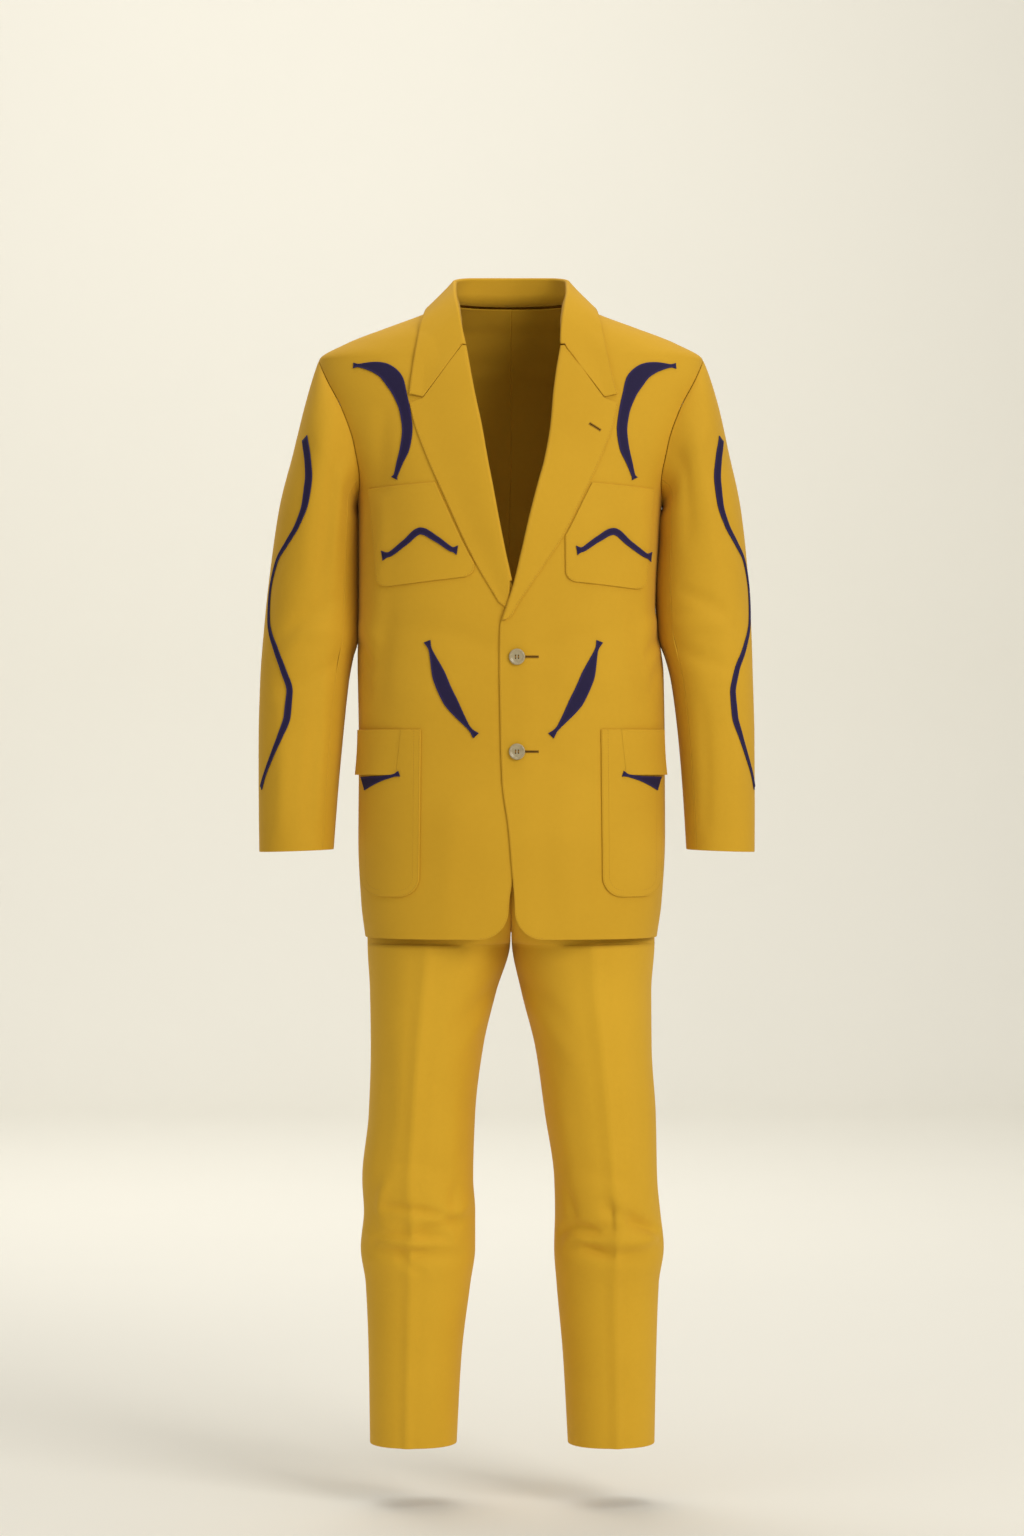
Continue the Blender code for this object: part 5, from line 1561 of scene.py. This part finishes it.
    def make_collar(self) -> None:
        """Make the folded collar, stitched along its leaf."""
        length, width = self.collar_size
        places = merged(np.array(EDGE_STEPS[:4]) / length, np.linspace(0.0, 1.0, 90) ** self.collar_crowding)
        roll = np.linspace(0.0, 1.0, self.roll_count)
        leaf = fractions_to_edge(width, 34)
        left = self.collar.rows(Side.LEFT, places, roll, leaf)
        right = self.collar.rows(Side.RIGHT, places[-2::-1], roll, leaf)
        points = np.concatenate((left, right))
        rests_on = [f"jacket_{part}_{side.label}" for part in ("front", "back") for side in Side]
        shell = shell_from_points("collar", points)
        self.wardrobe.add(shell, "jacket", Slot.GABARDINE, Held.FOLDED, rests_on)
        self.wardrobe.thread.sew(*grid_line(points, STITCH_INSET))

    def sleeve_skin(self, side: Side) -> Skin:
        """Return a sleeve's skin by angle and station."""
        def relief(points: Array, angle: Array, place: Array) -> Array:
            across = np.radians(angle) * self.sleeve_radius
            fade = ease(place / self.sleeve_fades[0]) * ease((1 - place) / self.sleeve_fades[1])
            z = points[..., 2]
            inside = np.exp(-(turned(angle + 90.0) / self.press_reach) ** 2)
            below = ease((self.press_top - z) / self.press_fade)
            pressed = self.press * below * ease((z - self.press_bottom) / self.press_fade)
            below = ease((self.armpit_top - z) / self.armpit_fades[0])
            pressed += self.armpit_press[side] * below * ease((z - self.armpit_bottom) / self.armpit_fades[1])
            return folds_rise(self.sleeve_folds[side], across, z) * fade + inside * pressed

        return Skin(lambda a, p: self.sleeve.point(side, a, p), relief, (0.4, 0.003), -side.value)

    def make_sleeve(self, side: Side) -> None:
        """Make the top and the under sleeve."""
        skin = self.sleeve_skin(side)
        front, back, gap = self.sleeve.seam_front, self.sleeve.seam_back, self.sleeve_seam_gap
        places = fractions_with_edges(self.sleeve_length, 124)
        rests_on = ["jacket_front_" + side.label, "jacket_back_" + side.label]
        for name, first, last, count in (
            ("sleeve_top_", front + gap, back - gap, 84),
            ("sleeve_under_", back + gap, front + 360.0 - gap, 44),
        ):
            spans = (first, last, math.radians(last - first) * self.sleeve_radius)
            self.wardrobe.add_panel(name + side.label, "jacket", Held.DRAPED, skin, places, spans, count,
                                    rests_on)

    def make_patch(self, name: str, side: Side, shape: PatchShape, lift: float, insets: Sequence[float],
                   flare: float = 0.0, under_lapel: bool = False, feather: float = 0.0) -> None:
        """Make a pocket or flap on a front with rows of stitches inside its edge.

        Args:
            name: The node's name without its side.
            side: The wearer's side.
            shape: Its outline.
            lift: Height of its outer face above the front.
            insets: Distances of the stitch rows from the edge.
            flare: How much further out its lower edge stands.
            under_lapel: Whether it ends beside the lapel's edge.
            feather: Width over which its inner edge melts into the cloth below; 0 for a plain edge.
        """
        fraction = shape.fractions(self.patch_steps[0])
        start, end, z = shape.row(fraction)
        if under_lapel:
            for _ in range(3):
                beside = self.lapel.edge_x(side, shape.tilted(start, z)) + self.lapel_clearance
                start = np.maximum(start, beside)
        first = self.torso.angle_at(side, side.value * start, shape.tilted(start, z))
        last = self.torso.angle_at(side, side.value * end, shape.tilted(end, z))
        angles = spread_rows(first, last, end - start, self.patch_steps[1])
        rows = np.broadcast_to(z[:, None], angles.shape)
        skin = self.front_skin(side)
        rows = shape.tilted(np.abs(skin.base(angles, rows)[..., 0]), rows)
        inward = np.abs(skin.base(angles, rows)[..., 0]) - start[:, None]
        full = ease(inward / feather) if feather else np.ones(angles.shape)
        sunk = self.feather_sink
        rise = lift + (flare * (1 - fraction[:, None]) ** 2 + sunk) * full - sunk
        thickness = CLOTH * mix(self.feather_thickness, 1.0, full)
        radius = mix(self.feather_radius, EDGE_RADIUS, full)
        shell = shell_from_skin(name + "_" + side.label, skin, angles, rows, rise, thickness, radius)
        self.wardrobe.add(shell, "jacket", Slot.GABARDINE, Held.LAID, ["jacket_front_" + side.label])
        chest = self.chest_skin(side)
        for distance in insets:
            line = shape.outline(distance)
            x, height = line[:, 0], line[:, 1]
            at = shape.tilted(x, height)
            if under_lapel:
                keep = x > self.lapel.edge_x(side, at) + self.lapel_clearance + self.stitch_clearance
                x, height, at = x[keep], height[keep], at[keep]
            part = (height - shape.bottom) / (shape.top - shape.bottom)
            self.sew(chest, side.value * x, at, lift + flare * (1 - part) ** 2)

    def make_strip(self, trim: Trim, side: Side, skin: Skin,
                   place: Callable[[Array, Array], tuple[Array, Array]]) -> None:
        """Make an applique strip with its corded edge.

        Args:
            trim: The applique.
            side: The wearer's side.
            skin: The skin it lies on.
            place: Gives the skin's two parameters for the strip's coordinates.
        """
        moved = trim.moved[0 if side is Side.LEFT else 1]
        strip = Strip(tuple((a + moved, b, half) for a, b, half in trim.rows))
        a, b, half, part = strip.grid()
        u, v = place(a, b)
        bead = strip.bead(half, part)
        edge = half * (1 - np.abs(part))
        base, normals = skin.points(u, v, trim.lift), skin.normals(u, v)
        drawn = Shell.rounding(edge, strip.edge_radius)
        outer = base + normals * (TRIM - strip.edge_drop + bead - drawn)[..., None]
        inner = base + normals * (drawn * strip.under_share)[..., None]
        shell = Shell(f"applique_{trim.name}_{side.label}", outer, inner, edge)
        self.wardrobe.add(shell, "applique", Slot.APPLIQUE, Held.LAID, [f"{trim.rests_on}_{side.label}"])

    def make_pockets(self, side: Side) -> None:
        """Make the breast flap, the hip pocket and its flap."""
        self.make_patch("breast_flap", side, self.breast_flaps[side], ON_PANEL, (STITCH_INSET,),
                        under_lapel=True)
        self.make_patch("hip_pocket", side, self.hip_pocket, ON_PANEL, (STITCH_INSET, 0.0080))
        self.make_patch("hip_flap", side, self.hip_flap, 2 * ON_PANEL, (), flare=self.flap_flare, feather=0.030)

    def make_appliques(self, side: Side) -> None:
        """Make the dark appliques of a front, then the wave down the outer face of its sleeve."""
        def on_sleeve(across: Array, z: Array) -> tuple[Array, Array]:
            angle = np.degrees(across / self.sleeve_radius)
            return angle, self.sleeve.place_at(side, angle, z)

        chest, sleeve = self.chest_skin(side), self.sleeve_skin(side)
        for trim in self.trims:
            if trim.rests_on == "sleeve_top":
                self.make_strip(trim, side, sleeve, on_sleeve)
            else:
                self.make_strip(trim, side, chest, lambda a, b: (side.value * a, b))

    def make(self) -> None:
        """Make the whole jacket."""
        for side in Side:
            self.make_front(side)
            self.make_back(side)
            self.make_sleeve(side)
            self.make_lapel(side)
            self.make_pockets(side)
            self.make_appliques(side)
        self.make_collar()
        for name, z in zip(("button_upper", "button_lower"), self.button_heights):
            Button(self, name, z).make()


@dataclass
class Button:
    """A rimmed front button with four holes, sewn on through its buttonhole."""

    jacket: Jacket
    name: str
    z: float
    sides: int = 64
    profile: tuple[tuple[float, float], ...] = (
        (0.0001, 0.0), (0.006, 0.0), (0.0078, 0.0003), (0.0092, 0.001), (0.0098, 0.0018), (0.0097, 0.0026),
        (0.0092, 0.0032), (0.0086, 0.0034), (0.008, 0.0033), (0.0073, 0.0027), (0.0066, 0.0023),
        (0.005, 0.0021), (0.0001, 0.002),
    )
    hole_reach: float = 0.0017
    hole_radius: float = 0.0009
    hole_rise: float = 0.00212
    hole_depth: float = 0.0004
    hole_sides: int = 16
    thread_step: float = 0.0003
    seat: float = 0.0003
    sharp_angle: float = 50.0
    slot_start: float = 0.0090
    slot_end: float = 0.0255

    def make(self) -> None:
        """Make the button, its holes and thread, and the buttonhole beside it."""
        jacket = self.jacket
        skin = jacket.chest_skin(Side.LEFT)
        x, z = np.array(jacket.button_x), np.array(self.z)
        out = skin.normals(x, z)
        centre = skin.points(x, z, self.seat)
        across = unit(np.cross(np.array([0.0, 0.0, 1.0]), out))
        up = np.cross(out, across)

        def circle(middle: Array, radius: float, sides: int) -> Array:
            turns = 2 * np.pi * np.arange(sides)[:, None] / sides
            return middle + (across * np.cos(turns) + up * np.sin(turns)) * radius

        rings = [circle(centre + out * rise, radius, self.sides) for radius, rise in self.profile]
        walls, caps = tube_faces(len(rings), self.sides)
        item = self.add_mesh("_turned", rings, walls.tolist() + caps.tolist(), "pearl")
        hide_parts(self.name)
        middle = centre + out * self.hole_rise
        spots = [middle + (across * i + up * j) * self.hole_reach for i in (-1, 1) for j in (-1, 1)]
        holes, hole_faces = [], []
        walls, caps = tube_faces(2, self.hole_sides)
        for spot in spots:
            first = len(holes) * self.hole_sides
            rim = circle(spot, self.hole_radius, self.hole_sides)
            holes += [rim, rim - out * self.hole_depth]
            hole_faces += (walls + first).tolist() + (caps + first).tolist()
        self.add_mesh("_holes", holes, hole_faces, "hole")
        for first, second in ((0, 1), (2, 3)):
            for shift in (-1, 0, 1):
                move = (across * shift + out) * self.thread_step
                jacket.wardrobe.dark_thread.bar(spots[first] + move, spots[second] + move, out)
        start = (jacket.button_x + self.slot_start, self.z)
        Buttonhole(self.name, skin, start, (jacket.button_x + self.slot_end, self.z)).work(jacket.wardrobe)

    def add_mesh(self, ending: str, rings: list[Array], faces: list, finish: str) -> bpy.types.Object:
        """Make a smooth object from rings of points; it rides the suit."""
        item = new_object(self.name + ending, np.concatenate(rings), faces)
        item.data.set_sharp_from_angle(angle=math.radians(self.sharp_angle))
        item.data.materials.append(self.jacket.wardrobe.materials[finish])
        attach(item, BODY)
        return item


@dataclass(frozen=True)
class Break:
    """A fold where a trouser leg breaks above the ankle; depth below 0 goes in."""

    z: float
    angle: float
    reach: float
    climb: float
    width: float
    depth: float

    def rise(self, angle: Array, z: Array) -> Array:
        """Return the fold's height at places of a leg."""
        along = turned(angle - self.angle) / self.reach
        height = (z - self.z - self.climb * along) / self.width
        swell = np.where(np.abs(along) < 1, (1 - along * along) ** 2, 0.0)
        return self.depth * swell * np.exp(-height * height)


@dataclass
class Trousers:
    """The trousers: a front and a back panel for each leg, and the waistband."""

    wardrobe: Wardrobe
    form: LegForm = field(default_factory=LegForm)
    column_count: int = 54
    seam_trim: float = 0.03
    slit_angle: float = 0.06
    radius: float = 0.070
    fade_angle: float = 12.0
    breaks_from: float = -1.215
    breaks_to: float = -1.080
    waist_length: float = 0.9
    breaks: dict[Side, tuple[Break, ...]] = field(default_factory=lambda: {
        Side.RIGHT: tuple(Break(*row) for row in (
            (-1.137, 10.0, 75.0, -0.012, 0.01, -0.006), (-1.12, -30.0, 50.0, -0.016, 0.01, 0.005),
            (-1.166, 5.0, 85.0, 0.008, 0.011, -0.0065), (-1.15, 30.0, 60.0, 0.01, 0.009, 0.0045),
            (-1.125, 180.0, 70.0, 0.01, 0.012, -0.006), (-1.16, 170.0, 80.0, -0.012, 0.012, -0.006),
        )),
        Side.LEFT: tuple(Break(*row) for row in (
            (-1.14, -20.0, 65.0, 0.012, 0.01, -0.006), (-1.124, 25.0, 45.0, -0.018, 0.01, -0.005),
            (-1.164, -10.0, 80.0, -0.01, 0.011, -0.0065), (-1.15, 40.0, 50.0, 0.012, 0.009, 0.0045),
            (-1.122, 180.0, 70.0, -0.01, 0.012, -0.006), (-1.158, 190.0, 80.0, 0.012, 0.012, -0.006),
        )),
    })
    folds: dict[Side, tuple[Fold, ...]] = field(default_factory=lambda: {
        Side.LEFT: millimetre_folds(
            (-90, -830, -30, -880, 12, -1.6, 4), (-85, -860, -25, -930, 13, 1.2, 4),
            (50, -900, 46, -1080, 16, -1.2, 3), (-50, -960, -46, -1090, 14, 1.2, -3),
            (-60, -1060, 50, -1090, 12, -1.2, 6), (170, -840, 230, -900, 14, -2.2, 5),
            (160, -1010, 270, -1030, 14, -1.8, 6), (165, -1060, 265, -1045, 12, 1.4, 5),
            (-82, -1144, -14, -1141, 6, -3.4, 9), (-72, -1156, -30, -1150, 7.5, 2.8, 4),
            (-36, -1160, -2, -1170, 5.5, -3.4, 2), (0, -1100, 7, -1138, 6, -2.6, 0),
            (14, -1085, 18, -1150, 8, 2, 1), (26, -1130, 82, -1150, 7.5, -3, 4),
            (-60, -1090, -48, -1128, 8, -2, 2),
        ),
        Side.RIGHT: millimetre_folds(
            (-92, -835, -34, -892, 12, -1.8, 4), (-86, -870, -26, -945, 13, 1.3, 4),
            (52, -910, 48, -1070, 16, -1.3, -3), (-48, -950, -50, -1080, 14, 1.1, 3),
            (-56, -1075, 52, -1055, 12, -1.4, 6), (172, -845, 228, -910, 14, -2, 5),
            (160, -1025, 268, -1010, 14, -2, -6), (168, -1070, 262, -1062, 12, 1.2, 5),
            (36, -1078, 52, -1118, 8, 2.8, 2), (44, -1110, -54, -1130, 6.5, -3.4, -6),
            (52, -1134, 4, -1140, 8.5, 2.6, 2), (62, -1152, -38, -1148, 6.5, -3.8, -6),
            (-52, -1084, -44, -1126, 7.5, -2.2, 2), (4, -1128, -3, -1158, 6.5, 1.8, 1),
            (22, -1166, -4, -1190, 6.5, -2, 2),
        ),
    })

    def skin(self, side: Side) -> Skin:
        """Return a leg's skin by angle and height."""
        def relief(points: Array, angle: Array, z: Array) -> Array:
            across = np.radians(angle) * self.radius
            fade = ease(np.minimum(np.abs(angle + 90), np.abs(angle - 270)) / self.fade_angle)
            total = folds_rise(self.folds[side], across, z) * fade
            return total + sum(fold.rise(angle, z) for fold in self.breaks[side])

        return Skin(lambda a, z: self.form.point(side, a, z), relief, (0.4, 0.0006), side.value)

    def heights(self) -> Array:
        """Return the rows' heights, closer at the folds and at the crotch."""
        form = self.form
        low = np.linspace(form.hem_z, self.breaks_from, 30)
        breaks = np.linspace(self.breaks_from, self.breaks_to, 72)
        thigh = np.linspace(self.breaks_to, form.crotch_z, 56)
        crotch = form.crotch_z + form.crotch_rise * corner_heights(26)
        top = form.waist_z - form.band_drop - 0.0003
        hips = np.linspace(form.crotch_z + form.crotch_rise, top, 28)
        edges = np.array(EDGE_STEPS)
        return merged(low, breaks, thigh, crotch, hips, form.hem_z + edges, top - edges)

    def make_leg(self, side: Side) -> None:
        """Make the front and the back panel of a leg."""
        skin, z = self.skin(side), self.heights()
        for name, start in (("trouser_front_", -90.0), ("trouser_back_", 90.0)):
            spans = (start + self.seam_trim, start + 180.0 - self.seam_trim, math.pi * self.radius)
            self.wardrobe.add_panel(name + side.label, "trousers", Held.HUNG, skin, z, spans,
                                    self.column_count, ["trouser_waistband"])

    def make_waistband(self) -> None:
        """Make the waistband, closed at the middle of the front."""
        def point(turn: Array, z: Array) -> Array:
            left = self.form.point(Side.LEFT, 2 * turn - 90.0, z)
            right = self.form.point(Side.RIGHT, 2 * (360.0 - turn) - 90.0, z)
            return np.where((turn <= 180.0)[..., None], left, right)

        skin = Skin(point, lambda points, turn, z: np.zeros(np.shape(z)), (0.4, 0.0006))
        top = self.form.waist_z
        z = (top - self.form.band_drop) + self.form.band_drop * fractions_with_edges(self.form.band_drop, 8)
        spans = (self.slit_angle, 360.0 - self.slit_angle, self.waist_length)
        self.wardrobe.add_panel("trouser_waistband", "trousers", Held.DRAPED, skin, z, spans, 200)

    def make(self) -> None:
        """Make the whole trousers."""
        for side in Side:
            self.make_leg(side)
        self.make_waistband()


@dataclass(frozen=True)
class SoftLight:
    """A soft square light that faces a point."""

    name: str
    at: tuple[float, float, float]
    size: float
    power: float
    aim: tuple[float, float, float] = (0.0, 0.0, -0.6)
    colour: tuple[float, float, float] = (1.0, 0.97, 0.92)

    def add(self) -> None:
        """Put the light in the scene."""
        light = bpy.data.lights.new(self.name, "AREA")
        light.shape, light.size, light.energy, light.color = "SQUARE", self.size, self.power, self.colour
        item = put(self.name, light)
        item.location = self.at
        item.rotation_euler = (Vector(self.aim) - Vector(self.at)).to_track_quat("-Z", "Y").to_euler()


@dataclass
class Studio:
    """A pale plain floor that curves up behind, soft lights and the camera at the photo's angle."""

    floor_z: float = -1.482
    floor_start: float = -8.0
    wall_y: float = 7.5
    wall_top: float = 5.5
    half_width: float = 9.0
    bend: float = 1.2
    colour: tuple[float, float, float] = (0.88, 0.865, 0.80)
    camera_at: tuple[float, float, float] = (0.0012, -5.5, -0.5756)
    lens: float = 104.8
    lights: tuple[SoftLight, ...] = (
        SoftLight("key", (2.6, -3.4, 1.3), 2.2, 108.0),
        SoftLight("fill", (-3.2, -3.0, 0.4), 2.6, 17.0),
        SoftLight("top", (0.3, -0.6, 2.6), 2.4, 30.0),
        SoftLight("backdrop_light", (-0.9, 3.6, 3.0), 3.0, 102.0, (-0.4, 7.5, -0.2)),
        SoftLight("floor_light", (-0.8, 2.1, 3.6), 3.0, 86.0, (-0.6, 2.1, -1.5)),
    )

    def make_backdrop(self) -> bpy.types.Object:
        """Make the floor and the wall as one curved sheet."""
        turns = np.radians(np.linspace(0.0, 90.0, 24))
        bend_y = self.wall_y - self.bend * (1 - np.sin(turns))
        bend_z = self.floor_z + self.bend * (1 - np.cos(turns))
        profile = [(self.floor_start, self.floor_z), *zip(bend_y, bend_z), (self.wall_y, self.wall_top)]
        points = [(x, y, z) for y, z in profile for x in (-self.half_width, self.half_width)]
        faces = [(2 * k, 2 * k + 1, 2 * k + 3, 2 * k + 2) for k in range(len(profile) - 1)]
        item = new_object("backdrop", points, faces)
        item.data.materials.append(PlainFinish("Backdrop", self.colour, 0.9, 0.1, 0.01, 1.5).material())
        return item

    def make(self) -> None:
        """Set up the studio and the camera."""
        scene = bpy.context.scene
        self.make_backdrop()
        world = bpy.data.worlds.new("studio")
        world.use_nodes = True
        background = world.node_tree.nodes["Background"]
        background.inputs["Color"].default_value = (1.0, 0.97, 0.90, 1.0)
        background.inputs["Strength"].default_value = 0.30
        scene.world = world
        for light in self.lights:
            light.add()
        camera = bpy.data.cameras.new("photo_camera")
        camera.lens = self.lens
        camera.sensor_width = 36.0
        camera.sensor_fit = "AUTO"
        scene.camera = put("photo_camera", camera)
        scene.camera.location = self.camera_at
        scene.camera.rotation_euler = (math.radians(90.0), 0.0, 0.0)
        scene.view_settings.view_transform = "Standard"


def make_materials() -> dict[str, bpy.types.Material]:
    """Return the materials by key."""
    groups = {"twill": twill_group(), "wear": wear_group()}
    cloths = {
        "jacket": ClothFinish("Jacket gabardine", (0.670, 0.382, 0.022), (0.550, 0.300, 0.013)),
        "trousers": ClothFinish("Trouser gabardine", (0.735, 0.425, 0.026), (0.605, 0.336, 0.016)),
        # The applique's edges get a painted highlight.
        "applique": ClothFinish("Dark applique", (0.020, 0.013, 0.062), (0.010, 0.006, 0.034), sheen=0.12,
                                rib=0.0008, edge_light=0.25),
    }
    made = {key: finish.material(groups) for key, finish in cloths.items()}
    made["thread"] = PlainFinish("Yellow thread", (0.430, 0.215, 0.012), 0.6, 0.3).material()
    made["dark_thread"] = PlainFinish("Buttonhole thread", (0.300, 0.140, 0.010), 0.6, 0.3).material()
    made["pearl"] = PearlFinish().material()
    made["hole"] = PlainFinish("Shadowed hole", (0.030, 0.018, 0.006), 0.9, 0.1).material()
    return made


def main() -> None:
    """Dress the suit and set up the photograph."""
    logging.basicConfig(level=logging.INFO)
    wardrobe = Wardrobe(make_materials())
    Jacket(wardrobe).make()
    Trousers(wardrobe).make()
    wardrobe.finish_threads()
    Studio().make()


if __name__ == "__main__":
    main()
